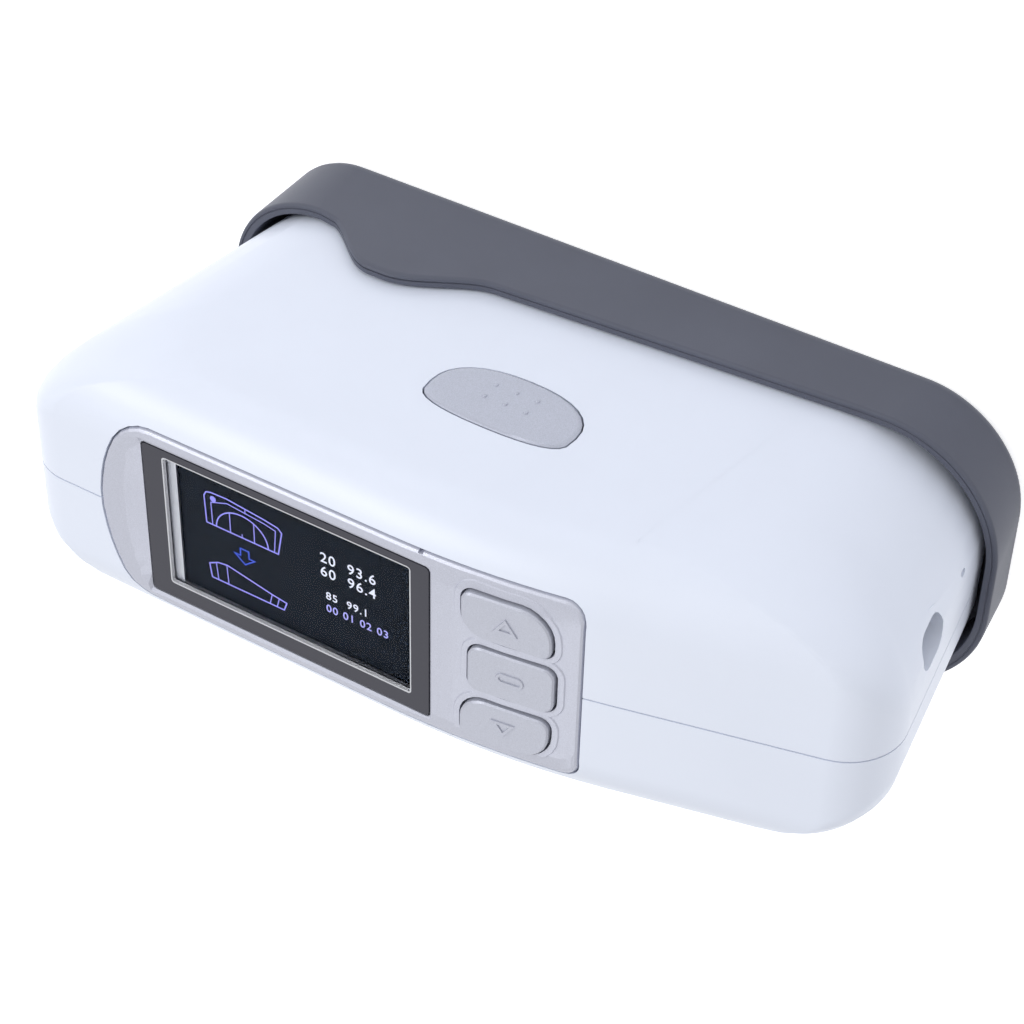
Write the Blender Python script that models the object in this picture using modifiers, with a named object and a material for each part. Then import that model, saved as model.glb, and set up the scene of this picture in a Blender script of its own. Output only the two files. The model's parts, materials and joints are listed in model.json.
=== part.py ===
"""Tri-angle gloss meter standing on its calibration base.

Frame: +Z up towards the display, -Y is the side with the test button, the port is at the -X end.
The origin is the middle of the base's underside. All sizes are in metres.
"""
import math

import bmesh
import bpy
from mathutils import Matrix, Vector

MM = 0.001
DEG = math.pi / 180.0

# Gaps between pieces that touch or run in each other, and how far a cutter runs past what it cuts
GAP = 0.3 * MM
PAST = 1.0 * MM

# Housing: two moulded halves that meet on the plane y = 0
BODY_THICKNESS = 51.8 * MM
BODY_TOP = 78.6 * MM
BODY_WALL = 2.4 * MM
FACE_SLOPE = 13.8 * DEG
SLOPE_CORNER_X = -18.8 * MM
SLOPE_BLEND_RADIUS = 169.0 * MM
PORT_END_X = -80.8 * MM
PORT_END_Z = 50.9 * MM
PORT_END_TAPER = 9.0 * DEG
FAR_END_X = 81.9 * MM
FAR_END_Z = 75.5 * MM
FAR_END_TAPER = 6.4 * DEG
PORT_CORNER_RADIUS = 11.0 * MM
FAR_CORNER_RADIUS = 10.0 * MM
FOOT_CORNER_RADIUS = 8.0 * MM
TOP_FILLET = 11.5 * MM
PORT_END_FILLET = 20.0 * MM
PORT_END_REACH = 28.0 * MM
FAR_END_FILLET = 18.5 * MM
FAR_END_REACH = 21.0 * MM
FOOT_FILLET = 6.0 * MM
SEAM_GAP = GAP
TONGUE_DEPTH = 2.0 * MM
TONGUE_THICKNESS = 0.9 * MM

# Calibration base
TRAY_FLOOR = 4.2 * MM
TRAY_WALL = 2.2 * MM
TRAY_SIDE_CLEARANCE = 0.35 * MM
TRAY_FAR_CLEARANCE = 0.6 * MM
TRAY_PORT_CLEARANCE = 1.3 * MM
TRAY_FAR_CORNER = 20.5 * MM
TRAY_FAR_FOOT_CORNER = 16.5 * MM
TRAY_PORT_CORNER = 23.5 * MM
TRAY_PORT_FOOT_CORNER = 21.0 * MM
TRAY_FOOT_FILLET = 3.2 * MM
RIM_OUTER_CHAMFER = 0.5 * MM
RIM_INNER_CHAMFER = 0.3 * MM
RIM_FAR_Z = 18.3 * MM
RIM_PORT_Z = 15.6 * MM
RIM_SLOPE_START_X = 18.0 * MM
RIM_SLOPE_START_Z = 20.2 * MM
LOBE_X = 39.2 * MM
LOBE_Z = 27.8 * MM
LOBE_FLAT = 3.0 * MM
LOBE_FAR_RUN = 16.0 * MM
LOBE_PORT_RUN = 19.0 * MM
TILE_LENGTH = 72.0 * MM
TILE_WIDTH = 28.0 * MM
TILE_THICKNESS = 2.0 * MM
TILE_CHAMFER = 0.4 * MM

UNDERSIDE_Z = TRAY_FLOOR + GAP

# Silver display bezel
BEZEL_FAR_X = 61.8 * MM
BEZEL_PORT_X = -33.7 * MM
BEZEL_HALF_WIDTH = 19.1 * MM
BEZEL_ARC_RADIUS = 31.0 * MM
BEZEL_FAR_CORNER = 8.0 * MM
BEZEL_PORT_CORNER = 3.6 * MM
BEZEL_THICKNESS = 1.5 * MM
BEZEL_PROUD = 0.15 * MM
BEZEL_EDGE = 0.55 * MM
BEZEL_NOTCH_X = -4.6 * MM
BEZEL_NOTCH_WIDTH = 0.9 * MM
BEZEL_NOTCH_DEPTH = 0.5 * MM
BEZEL_LEDGE = 2.0 * MM
WINDOW_FAR_X = 52.5 * MM
WINDOW_PORT_X = -6.7 * MM
WINDOW_HALF_WIDTH = 16.7 * MM
WINDOW_CORNER = 0.8 * MM
DISH_DEPTH = 0.75 * MM
DISH_FAR_MARGIN = 4.2 * MM
DISH_CORNER_SHARE = 0.15
DISH_SIDE_MARGIN = 1.3 * MM
DISH_PORT_MARGIN = 0.8 * MM
FRAME_THICKNESS = 0.8 * MM
FRAME_FAR_BORDER = 4.4 * MM
FRAME_PORT_BORDER = 3.8 * MM
FRAME_FRONT_BORDER = 1.7 * MM
FRAME_REAR_BORDER = 3.5 * MM
LENS_THICKNESS = 0.5 * MM
LENS_SINK = 0.1 * MM
LCD_BEZEL_THICKNESS = 0.4 * MM
LCD_BEZEL_BORDER = 1.3 * MM
LCD_OPENING_MARGIN = 0.4 * MM
LCD_FAR_MARGIN = 2.2 * MM
LCD_THICKNESS = 2.4 * MM
BOARD_THICKNESS = 1.6 * MM

# Keys beside the display
KEY_COLUMN_X = -21.0 * MM
KEY_WIDTH = 16.0 * MM
KEY_OUTER_Y = 16.0 * MM
KEY_INNER_Y = 6.9 * MM
ENTER_WIDTH = 15.4 * MM
ENTER_SHIFT = -1.0 * MM
ENTER_HALF_HEIGHT = 4.8 * MM
KEY_LARGE_CORNER = 5.6 * MM
KEY_MEDIUM_CORNER = 4.6 * MM
KEY_SMALL_CORNER = 1.9 * MM
ENTER_LARGE_CORNER = 2.4 * MM
KEY_PROUD = 1.0 * MM
KEY_CHAMFER = 0.3 * MM
KEY_CLEARANCE = 0.4 * MM
KEY_TRAVEL = 0.8 * MM
KEY_FLANGE = 0.8 * MM
PLATEAU_MARGIN = 1.5 * MM
PLATEAU_RISE = 0.25 * MM
PLATEAU_DRAFT = 35.0 * DEG
KEY_FLANGE_THICKNESS = 0.8 * MM
KEY_STEM_RADIUS = 1.5 * MM
KEY_STEM_LENGTH = 1.5 * MM
KEY_SWITCH_SIDE = 4.6 * MM
KEY_SWITCH_HEIGHT = 1.1 * MM
KEY_PLUNGER_RADIUS = 1.1 * MM
KEY_PLUNGER_HEIGHT = 0.5 * MM
KEY_BOARD_FAR = 12.8 * MM
KEY_BOARD_PORT = 10.0 * MM
KEY_BOARD_HALF_WIDTH = 16.4 * MM
KEY_POST_RADIUS = 1.7 * MM
KEY_POST_X = 10.9 * MM
KEY_POST_Y = 12.0 * MM

# Test button on the -Y face
BUTTON_HALF_LENGTH = 14.2 * MM
BUTTON_Z = 46.6 * MM
BUTTON_RISE = 5.8 * MM
BUTTON_DROP = 8.8 * MM
BUTTON_PROUD = 0.5 * MM
BUTTON_POINTS = 32
BUTTON_TOP_POWER = 0.5
BUTTON_SIDE_POWER = 0.86
BUTTON_EDGE = ((0.9 * MM, 0.0), (0.35 * MM, 0.15 * MM), (0.0, 0.5 * MM))
BUTTON_FLANGE = 1.4 * MM
BUTTON_FLANGE_THICKNESS = 1.2 * MM
BUTTON_STEM_RADIUS = 2.5 * MM
BUTTON_STEM_LENGTH = 1.2 * MM
BUTTON_TRAVEL = 1.2 * MM
BUTTON_DOT_RADIUS = 0.55 * MM
# How far a dot's centre lies behind the button's face
BUTTON_DOT_SINK = BUTTON_DOT_RADIUS / 3
BUTTON_DOT_SEGMENTS = 8
BUTTON_DOT_RINGS = 3
BUTTON_DOT_PITCH_X = 4.1 * MM
BUTTON_DOT_PITCH_Z = 3.6 * MM
BUTTON_DOT_Z = 44.0 * MM
TEST_PLUNGER_RADIUS = 1.7 * MM
TEST_PLUNGER_REACH = 1.0 * MM

# Port and slot in the -X end
PORT_Z = 41.1 * MM
PORT_HEIGHT = 10.8 * MM
PORT_WIDTH = 6.6 * MM
PORT_COLLAR = 1.3 * MM
PORT_DEPTH = 4.6 * MM
SOCKET_LENGTH = 7.0 * MM
SOCKET_WIDTH = 8.0 * MM
SOCKET_THICKNESS = 3.0 * MM
SOCKET_WALL = 0.6 * MM
SOCKET_DEPTH = 4.9 * MM
SLOT_Z = 23.9 * MM
SLOT_Y = -10.3 * MM
SLOT_LENGTH = 2.2 * MM
SLOT_WIDTH = 0.8 * MM

# Measuring plate, window and optics
PLATE_END_MARGIN = 20.4 * MM
PLATE_HALF_WIDTH = 18.0 * MM
PLATE_CORNER = 5.0 * MM
PLATE_THICKNESS = 2.4 * MM
PLATE_FLANGE = 3.0 * MM
PLATE_FLANGE_THICKNESS = 1.8 * MM
APERTURE_LENGTH = 56.0 * MM
APERTURE_WIDTH = 12.0 * MM
APERTURE_CORNER = 3.0 * MM
GLASS_MARGIN = 3.0 * MM
GLASS_THICKNESS = 1.0 * MM
BLOCK_RADIUS = 42.0 * MM
BLOCK_HALF_THICKNESS = 9.5 * MM
BLOCK_OVERHANG = 1.0 * MM
BLOCK_FOOT_HEIGHT = 7.0 * MM
CHAMBER_MARGIN = 0.6 * MM
CHAMBER_HEIGHT = 6.0 * MM
SEAT_ROOT = 5.0 * MM
MODULE_SEAT = 2.0 * MM
MODULE_RADIUS = 6.2 * MM
MODULE_LENGTH = 10.0 * MM
MODULE_BORE = 3.6 * MM
GRAZING_RADIUS = 2.3 * MM
GRAZING_BORE = 1.6 * MM
MODULE_NECK_SHARE = 0.75
MODULE_SPIGOT = 2.5 * MM
MODULE_CHAMFER = 1.0 * MM
MODULE_LENS_THICKNESS = 1.6 * MM
MODULE_LENS_BULGE = 0.4 * MM
GRAZING_SEAT = 0.35 * MM

# Boards, battery and fasteners
MAIN_BOARD_PORT_X = -71.0 * MM
MAIN_BOARD_FAR_X = 40.0 * MM
MAIN_BOARD_LOW_Z = 26.0 * MM
MAIN_BOARD_HIGH_Z = 50.0 * MM
STANDOFF_HEIGHT = 1.5 * MM
STANDOFF_RADIUS = 2.2 * MM
STANDOFF_LOW = (22.0 * MM, 30.0 * MM)
STANDOFF_HIGH = (10.0 * MM, 38.0 * MM)
TEST_SWITCH_SIDE = 6.0 * MM
BATTERY_LENGTH = 56.0 * MM
BATTERY_HEIGHT = 34.0 * MM
BATTERY_THICKNESS = 9.5 * MM
BATTERY_Z = 32.0 * MM
BOSS_RADIUS = 4.2 * MM
SCREW_HEAD_RADIUS = 2.9 * MM
SCREW_HEAD_HEIGHT = 2.0 * MM
SCREW_SHAFT_RADIUS = 1.3 * MM
SCREW_REACH = 9.0 * MM
SCREW_SINK = 1.8 * MM
CASE_SCREWS = ((58.5 * MM, 60.0 * MM), (58.5 * MM, 23.0 * MM),
               (-50.0 * MM, 55.0 * MM), (-52.0 * MM, 21.0 * MM))
PLATE_SCREW_INSET = 4.0 * MM
PLATE_SCREW_Y = 6.0 * MM
PLATE_SCREW_HEAD = 2.2 * MM
PLATE_SCREW_HEAD_HEIGHT = 1.4 * MM
PLATE_SCREW_SINK = 1.9 * MM
PLATE_SCREW_SHAFT = 1.0 * MM
PLATE_SCREW_LENGTH = 9.0 * MM

# Values that follow from the sizes above
HALF = BODY_THICKNESS / 2
BOARD_Y = -(BLOCK_HALF_THICKNESS + STANDOFF_HEIGHT + GAP)
PORT_Y = BOARD_Y + GAP + SOCKET_THICKNESS / 2
PLATE_TOP = UNDERSIDE_Z + PLATE_THICKNESS + GAP + PLATE_FLANGE_THICKNESS
PLATE_HALF_LENGTH = -PORT_END_X - (PORT_END_Z - UNDERSIDE_Z) * math.tan(PORT_END_TAPER) - PLATE_END_MARGIN
PLATE_SCREW_X = PLATE_HALF_LENGTH - PLATE_SCREW_INSET
BLOCK_Z = PLATE_TOP + GAP
BLOCK_FOOT_REACH = PLATE_HALF_LENGTH + PLATE_FLANGE + BLOCK_OVERHANG
SPOT = Vector((0.0, 0.0, UNDERSIDE_Z))


def clear_scene():
    for item in list(bpy.data.objects):
        bpy.data.objects.remove(item, do_unlink=True)


def new_collection(name):
    group = bpy.data.collections.new(name)
    bpy.context.scene.collection.children.link(group)
    return group


def material(name, colour, roughness, metallic=0.0, transmission=0.0):
    """A Principled material; colour is linear RGB."""
    surface = bpy.data.materials.new(name)
    surface.use_nodes = True
    shader = surface.node_tree.nodes["Principled BSDF"]
    shader.inputs["Base Color"].default_value = (*colour, 1.0)
    shader.inputs["Roughness"].default_value = roughness
    shader.inputs["Metallic"].default_value = metallic
    shader.inputs["Transmission Weight"].default_value = transmission
    return surface


def adopt(item, name, group, surface=None):
    """Names an object, puts it in a collection and gives it its material."""
    item.name = name
    item.data.name = name
    for holder in list(item.users_collection):
        holder.objects.unlink(item)
    group.objects.link(item)
    if surface:
        item.data.materials.clear()
        item.data.materials.append(surface)
    return item


def as_cutter(item):
    item.hide_render = True
    item.display_type = "WIRE"
    return item


def boolean(target, tool, operation="DIFFERENCE"):
    step = target.modifiers.new(operation.title() + "_" + tool.name, "BOOLEAN")
    step.operation = operation
    step.solver = "EXACT"
    step.object = tool
    return target


def smooth(item, angle=32 * DEG):
    item.data.shade_smooth()
    item.data.set_sharp_from_angle(angle=angle)
    return item


def loft(name, rings, group, surface=None):
    """Closed solid through rings of equal count, with a flat cap at each end."""
    builder = bmesh.new()
    rows = [[builder.verts.new(point) for point in ring] for ring in rings]
    count = len(rings[0])
    for low, high in zip(rows, rows[1:]):
        for index in range(count):
            follow = (index + 1) % count
            builder.faces.new((low[index], low[follow], high[follow], high[index]))
    builder.faces.new(list(reversed(rows[0])))
    builder.faces.new(rows[-1])
    bmesh.ops.recalc_face_normals(builder, faces=builder.faces)
    mesh = bpy.data.meshes.new(name)
    builder.to_mesh(mesh)
    builder.free()
    return adopt(bpy.data.objects.new(name, mesh), name, group, surface)


def plate(name, outline, thickness, matrix, group, surface=None):
    """Flat outline in its own XY plane, extruded evenly about that plane, then made a welded mesh."""
    curve = bpy.data.curves.new(name, "CURVE")
    curve.dimensions = "2D"
    curve.fill_mode = "BOTH"
    curve.extrude = thickness / 2
    line = curve.splines.new("POLY")
    line.points.add(len(outline) - 1)
    for point, (x, y) in zip(line.points, outline):
        point.co = (x, y, 0.0, 1.0)
    line.use_cyclic_u = True
    return mesh_of_curve(name, curve, matrix, group, surface)


def ring_plate(name, outer, inner, thickness, matrix, group, surface=None):
    """As plate, with a hole."""
    curve = bpy.data.curves.new(name, "CURVE")
    curve.dimensions = "2D"
    curve.fill_mode = "BOTH"
    curve.extrude = thickness / 2
    for outline in (outer, inner):
        line = curve.splines.new("POLY")
        line.points.add(len(outline) - 1)
        for point, (x, y) in zip(line.points, outline):
            point.co = (x, y, 0.0, 1.0)
        line.use_cyclic_u = True
    return mesh_of_curve(name, curve, matrix, group, surface)


def mesh_of_curve(name, curve, matrix, group, surface):
    holder = bpy.data.objects.new(name + "_curve", curve)
    bpy.context.scene.collection.objects.link(holder)
    bpy.context.view_layer.update()
    evaluated = holder.evaluated_get(bpy.context.evaluated_depsgraph_get())
    mesh = bpy.data.meshes.new_from_object(evaluated)
    bpy.data.objects.remove(holder, do_unlink=True)
    builder = bmesh.new()
    builder.from_mesh(mesh)
    bmesh.ops.remove_doubles(builder, verts=builder.verts, dist=0.001 * MM)
    bmesh.ops.recalc_face_normals(builder, faces=builder.faces)
    builder.to_mesh(mesh)
    builder.free()
    item = adopt(bpy.data.objects.new(name, mesh), name, group, surface)
    item.matrix_world = matrix
    return item


def box(name, low, high, group, surface=None, bevel=0.0):
    size = [b - a for a, b in zip(low, high)]
    centre = [(a + b) / 2 for a, b in zip(low, high)]
    bpy.ops.mesh.primitive_cube_add(size=1.0, location=centre)
    item = bpy.context.object
    item.scale = size
    bpy.ops.object.transform_apply(location=False, rotation=False, scale=True)
    adopt(item, name, group, surface)
    if bevel:
        rounding = item.modifiers.new("Bevel", "BEVEL")
        rounding.width = bevel
        rounding.segments = 2
    return item


def rod(name, start, end, radius, group, surface=None, sides=24):
    """Cylinder between two points."""
    start = Vector(start)
    end = Vector(end)
    bpy.ops.mesh.primitive_cylinder_add(vertices=sides, radius=radius, depth=(end - start).length)
    item = bpy.context.object
    item.matrix_world = along(start, end) @ Matrix.Translation((0, 0, (end - start).length / 2))
    adopt(item, name, group, surface)
    return item


def along(start, end):
    """Frame at start whose +Z points to end."""
    direction = (Vector(end) - Vector(start)).normalized()
    return Matrix.Translation(start) @ direction.to_track_quat("Z", "Y").to_matrix().to_4x4()


def turned(name, profile, matrix, group, surface=None, steps=24):
    """Solid of revolution; profile is (radius, height) from the top of the axis down to its foot."""
    mesh = bpy.data.meshes.new(name)
    edges = [(index, index + 1) for index in range(len(profile) - 1)]
    mesh.from_pydata([(radius, 0.0, height) for radius, height in profile], edges, [])
    item = adopt(bpy.data.objects.new(name, mesh), name, group, surface)
    screw = item.modifiers.new("Screw", "SCREW")
    screw.steps = steps
    screw.render_steps = steps
    screw.use_merge_vertices = True
    screw.merge_threshold = 0.001 * MM
    item.matrix_world = matrix
    return item


def arc(centre, radius, start, end, segments):
    """Points on an arc, ends included, angles in radians."""
    points = []
    for index in range(segments + 1):
        angle = start + (end - start) * index / segments
        points.append((centre[0] + radius * math.cos(angle), centre[1] + radius * math.sin(angle)))
    return points


def rounded_box(low_x, high_x, low_y, high_y, radii, segments=5):
    """Rounded rectangle, anticlockwise from the lower left; radii in that order or one for all."""
    if not isinstance(radii, (tuple, list)):
        radii = (radii,) * 4
    corners = ((low_x, low_y, 1, 1), (high_x, low_y, -1, 1),
               (high_x, high_y, -1, -1), (low_x, high_y, 1, -1))
    points = []
    for turn, ((x, y, side_x, side_y), radius) in enumerate(zip(corners, radii)):
        start = math.pi + turn * math.pi / 2
        centre = (x + side_x * radius, y + side_y * radius)
        points += arc(centre, radius, start, start + math.pi / 2, segments)
    return points


def slot_outline(length, width, segments=8):
    """Slot with round ends, its length along X."""
    reach = (length - width) / 2
    right = arc((reach, 0.0), width / 2, -math.pi / 2, math.pi / 2, segments)
    left = arc((-reach, 0.0), width / 2, math.pi / 2, math.pi * 1.5, segments)
    return right + left


# The housing's outline in the XZ plane, as five straight sides: foot, far end, top, key slope and port end.
# Each side is an outward normal and its distance from the origin.
def housing_sides():
    far = Vector((math.cos(FAR_END_TAPER), -math.sin(FAR_END_TAPER)))
    slope = Vector((-math.sin(FACE_SLOPE), math.cos(FACE_SLOPE)))
    port = Vector((-math.cos(PORT_END_TAPER), -math.sin(PORT_END_TAPER)))
    return (
        (Vector((0.0, -1.0)), -UNDERSIDE_Z),
        (far, far.dot(Vector((FAR_END_X, FAR_END_Z)))),
        (Vector((0.0, 1.0)), BODY_TOP),
        (slope, slope.dot(Vector((SLOPE_CORNER_X, BODY_TOP)))),
        (port, port.dot(Vector((PORT_END_X, PORT_END_Z)))),
    )


SIDE_FILLETS = (FOOT_FILLET, FAR_END_FILLET, TOP_FILLET, TOP_FILLET, PORT_END_FILLET)
SIDE_REACHES = (FOOT_FILLET, FAR_END_REACH, TOP_FILLET, TOP_FILLET, PORT_END_REACH)
CORNER_RADII = (FOOT_CORNER_RADIUS, FAR_CORNER_RADIUS, SLOPE_BLEND_RADIUS, PORT_CORNER_RADIUS,
                FOOT_CORNER_RADIUS)
CORNER_SEGMENTS = (4, 12, 10, 12, 4)
SMALLEST_RADIUS = 1.0 * MM
# How much each corner's radius changes for each millimetre that its sides move in
CORNER_GROWTH = (-0.15, 0.4, -1.0, 0.45, -0.15)


def crossing(first, second):
    """Where two sides meet."""
    (a, p), (b, q) = first, second
    det = a.x * b.y - a.y * b.x
    return Vector(((p * b.y - q * a.y) / det, (a.x * q - b.x * p) / det))


def housing_ring(insets, depths, side):
    """One closed line round the housing: each straight side moved in by its inset, at its depth in Y."""
    sides = [(normal, reach - inset) for (normal, reach), inset in zip(housing_sides(), insets)]
    points = []
    for index, (radius, growth, segments) in enumerate(zip(CORNER_RADII, CORNER_GROWTH, CORNER_SEGMENTS)):
        follow = (index + 1) % len(sides)
        radius += growth * (insets[index] + insets[follow]) / 2
        first = (sides[index][0], sides[index][1] - radius)
        second = (sides[follow][0], sides[follow][1] - radius)
        centre = crossing(first, second)
        start = math.atan2(first[0].y, first[0].x)
        turn = (math.atan2(second[0].y, second[0].x) - start) % (2 * math.pi)
        for step in range(segments + 1):
            share = step / segments
            angle = start + turn * share
            depth = depths[index] * (1 - share) + depths[follow] * share
            x = centre.x + radius * math.cos(angle)
            z = centre.y + radius * math.sin(angle)
            points.append((x, side * depth, z))
    return points


OUTER_FILLET_STEPS = 8
INNER_FILLET_STEPS = 3


def fillet_rings(wall, side, steps):
    """Rings of the rounded edge between the flat big face and the seam wall, from the face outwards."""
    rings = []
    reach = HALF - wall
    for step in range(steps + 1):
        angle = (1 - step / steps) * math.pi / 2
        insets = []
        depths = []
        for fillet, side_reach in zip(SIDE_FILLETS, SIDE_REACHES):
            insets.append(wall + max(side_reach - wall, SMALLEST_RADIUS) * (1 - math.cos(angle)))
            depths.append(reach - max(fillet - wall, SMALLEST_RADIUS) * (1 - math.sin(angle)))
        rings.append(housing_ring(insets, depths, side))
    return rings


def level_ring(inset, depth, side):
    count = len(CORNER_RADII)
    return housing_ring((inset,) * count, (depth,) * count, side)


def housing_half(name, side, group, surface):
    """One moulded half: outer skin, the seam with its tongue or rebate, and the inner skin."""
    edge = SEAM_GAP / 2
    rebate = BODY_WALL - TONGUE_THICKNESS - GAP
    rings = fillet_rings(0.0, side, OUTER_FILLET_STEPS)
    rings.append(level_ring(0.0, edge, side))
    if side < 0:
        rings.append(level_ring(rebate, edge, side))
        rings.append(level_ring(rebate, edge + TONGUE_DEPTH + GAP, side))
        rings.append(level_ring(BODY_WALL, edge + TONGUE_DEPTH + GAP, side))
    else:
        rings.append(level_ring(rebate + GAP, edge, side))
        rings.append(level_ring(rebate + GAP, edge - TONGUE_DEPTH, side))
        rings.append(level_ring(BODY_WALL, edge - TONGUE_DEPTH, side))
    rings += reversed(fillet_rings(BODY_WALL, side, INNER_FILLET_STEPS))
    return loft(name, rings, group, surface)


def face_height(x):
    """Height of the display face's crest over x."""
    blend = SLOPE_BLEND_RADIUS * math.tan(FACE_SLOPE / 2)
    flat_end = SLOPE_CORNER_X + blend
    slope_start = SLOPE_CORNER_X - blend * math.cos(FACE_SLOPE)
    if x >= flat_end:
        return BODY_TOP
    if x >= slope_start:
        return BODY_TOP - SLOPE_BLEND_RADIUS + math.sqrt(SLOPE_BLEND_RADIUS ** 2 - (flat_end - x) ** 2)
    return BODY_TOP - (SLOPE_CORNER_X - x) * math.tan(FACE_SLOPE)


def face_tilt(x):
    """Slope angle of the display face over x, 0 on its flat part."""
    blend = SLOPE_BLEND_RADIUS * math.tan(FACE_SLOPE / 2)
    return min(max(math.asin(min((SLOPE_CORNER_X + blend - x) / SLOPE_BLEND_RADIUS, 1.0)), 0.0), FACE_SLOPE)


def face_drop(y):
    """How far the rounded long edge falls below the crest at y."""
    past = abs(y) - (HALF - TOP_FILLET)
    if past <= 0:
        return 0.0
    return TOP_FILLET - math.sqrt(max(TOP_FILLET ** 2 - past ** 2, 0.0))


def bezel_half_width(x, grow=0.0):
    """Half width of the bezel's outline at x: round far end, straight sides, rounded port end."""
    radius = BEZEL_ARC_RADIUS + grow
    half = BEZEL_HALF_WIDTH + grow
    corner = BEZEL_FAR_CORNER + grow
    centre_x = BEZEL_FAR_X - BEZEL_ARC_RADIUS
    reach = radius - corner
    corner_y = half - corner
    corner_x = centre_x + math.sqrt(reach ** 2 - corner_y ** 2)
    touch_x = corner_x + corner * (corner_x - centre_x) / reach
    port_x = BEZEL_PORT_X - grow
    port_corner = BEZEL_PORT_CORNER + grow
    if x > touch_x:
        return math.sqrt(max(radius ** 2 - (x - centre_x) ** 2, 0.0))
    if x > corner_x:
        return corner_y + math.sqrt(max(corner ** 2 - (x - corner_x) ** 2, 0.0))
    if x < port_x + port_corner:
        return half - port_corner + math.sqrt(max(port_corner ** 2 - (port_x + port_corner - x) ** 2, 0.0))
    return half


BEZEL_EDGE_STEPS = 2
SLAB_TIP = 0.05 * MM
# Stations along the face: round the port end's corners, along the straight part and round the far end
SLAB_PORT_STATIONS = 6
SLAB_MIDDLE_STATIONS = 8
SLAB_FAR_STATIONS = 12
# Strips across the slab, for a visible slab and for one that only cuts
SLAB_STRIPS = 10
CUTTER_STRIPS = 6


def face_slab(name, grow, top, bottom, group, surface=None, sections=SLAB_STRIPS, edge=0.0):
    """Slab that follows the curved display face inside the bezel's outline, from one height over the face
    to another; the outline grows or shrinks by grow, and edge is the radius of its rounded upper edge."""
    start = BEZEL_PORT_X - grow
    end = BEZEL_FAR_X + grow
    corner = BEZEL_PORT_CORNER + grow
    corner_end = start + corner
    round_start = end - BEZEL_ARC_RADIUS / 2
    stations = []
    for step in range(SLAB_PORT_STATIONS):
        turn = step / SLAB_PORT_STATIONS * math.pi / 2
        stations.append(start + corner * (1 - math.cos(turn)))
    for step in range(SLAB_MIDDLE_STATIONS):
        stations.append(corner_end + (round_start - corner_end) * step / SLAB_MIDDLE_STATIONS)
    for step in range(SLAB_FAR_STATIONS):
        turn = step / (SLAB_FAR_STATIONS - 1) * math.pi / 2
        stations.append(round_start + (end - round_start) * math.sin(turn))
    rings = []
    for x in stations:
        half = max(bezel_half_width(min(x, end - SLAB_TIP), grow), SLAB_TIP)
        within = min(max(x, start + edge), end - edge)
        past = abs(x - within)
        crown = top - edge + math.sqrt(max(edge ** 2 - past ** 2, 0.0))
        inner = half
        if edge:
            inner = max(bezel_half_width(min(within, end - edge - SLAB_TIP), grow - edge), SLAB_TIP / 2)
        turns = [(step / sections - 1 / 2) * math.pi for step in range(sections + 1)]
        profile = [(inner * math.sin(turn), crown) for turn in turns]
        if edge:
            profile = slab_edge(-half, -inner, top - edge, crown) + profile
            profile += reversed(slab_edge(half, inner, top - edge, crown))
        upper = [(x, y, face_height(x) - face_drop(y) + height) for y, height in profile]
        lower = [(x, y, face_height(x) - face_drop(y) + bottom) for y, _ in profile]
        rings.append(upper + list(reversed(lower)))
    return loft(name, rings, group, surface)


def slab_edge(outer, inner, low, high):
    """Profile of the rounded edge from its foot at outer up to, and without, its end at inner."""
    points = []
    for step in range(BEZEL_EDGE_STEPS):
        angle = step * math.pi / 2 / BEZEL_EDGE_STEPS
        y = outer + (inner - outer) * (1 - math.cos(angle))
        points.append((y, low + (high - low) * math.sin(angle)))
    return points


def flat_matrix(z):
    return Matrix.Translation((0.0, 0.0, z))


def face_matrix(x, height=0.0):
    """Frame on the display face over x: its +Z is the outward normal, its X runs up the slope."""
    tilt = face_tilt(x)
    place = Matrix.Translation((x, 0.0, face_height(x))) @ Matrix.Rotation(-tilt, 4, "Y")
    return place @ flat_matrix(height)


def side_matrix(y):
    """Frame on a plane of constant y: outline X is world X, outline Y is world Z."""
    return Matrix.Translation((0.0, y, 0.0)) @ Matrix.Rotation(math.pi / 2, 4, "X")


def with_radius_added(radii, grow):
    return tuple(radius + grow for radius in radii)


KEY_CORNER_STEPS = 6


def key_outline(which, grow=0.0):
    """Outline of one key in the face frame at the key column; X points to the window."""
    half = KEY_WIDTH / 2
    if which == "enter":
        low_x = ENTER_SHIFT - ENTER_WIDTH / 2
        radii = with_radius_added((KEY_SMALL_CORNER, ENTER_LARGE_CORNER) * 2, grow)
        return rounded_box(low_x - grow, low_x + ENTER_WIDTH + grow, -ENTER_HALF_HEIGHT - grow,
                           ENTER_HALF_HEIGHT + grow, radii, KEY_CORNER_STEPS)
    if which == "up":
        radii = (KEY_LARGE_CORNER, KEY_SMALL_CORNER, KEY_MEDIUM_CORNER, KEY_SMALL_CORNER)
        low_y = -KEY_OUTER_Y
        high_y = -KEY_INNER_Y
    else:
        radii = (KEY_SMALL_CORNER, KEY_MEDIUM_CORNER, KEY_SMALL_CORNER, KEY_LARGE_CORNER)
        low_y = KEY_INNER_Y
        high_y = KEY_OUTER_Y
    return rounded_box(-half - grow, half + grow, low_y - grow, high_y + grow,
                       with_radius_added(radii, grow), KEY_CORNER_STEPS)


def key_centre(which):
    if which == "enter":
        return (ENTER_SHIFT, 0.0)
    middle = (KEY_INNER_Y + KEY_OUTER_Y) / 2
    return (0.0, -middle if which == "up" else middle)


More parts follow.
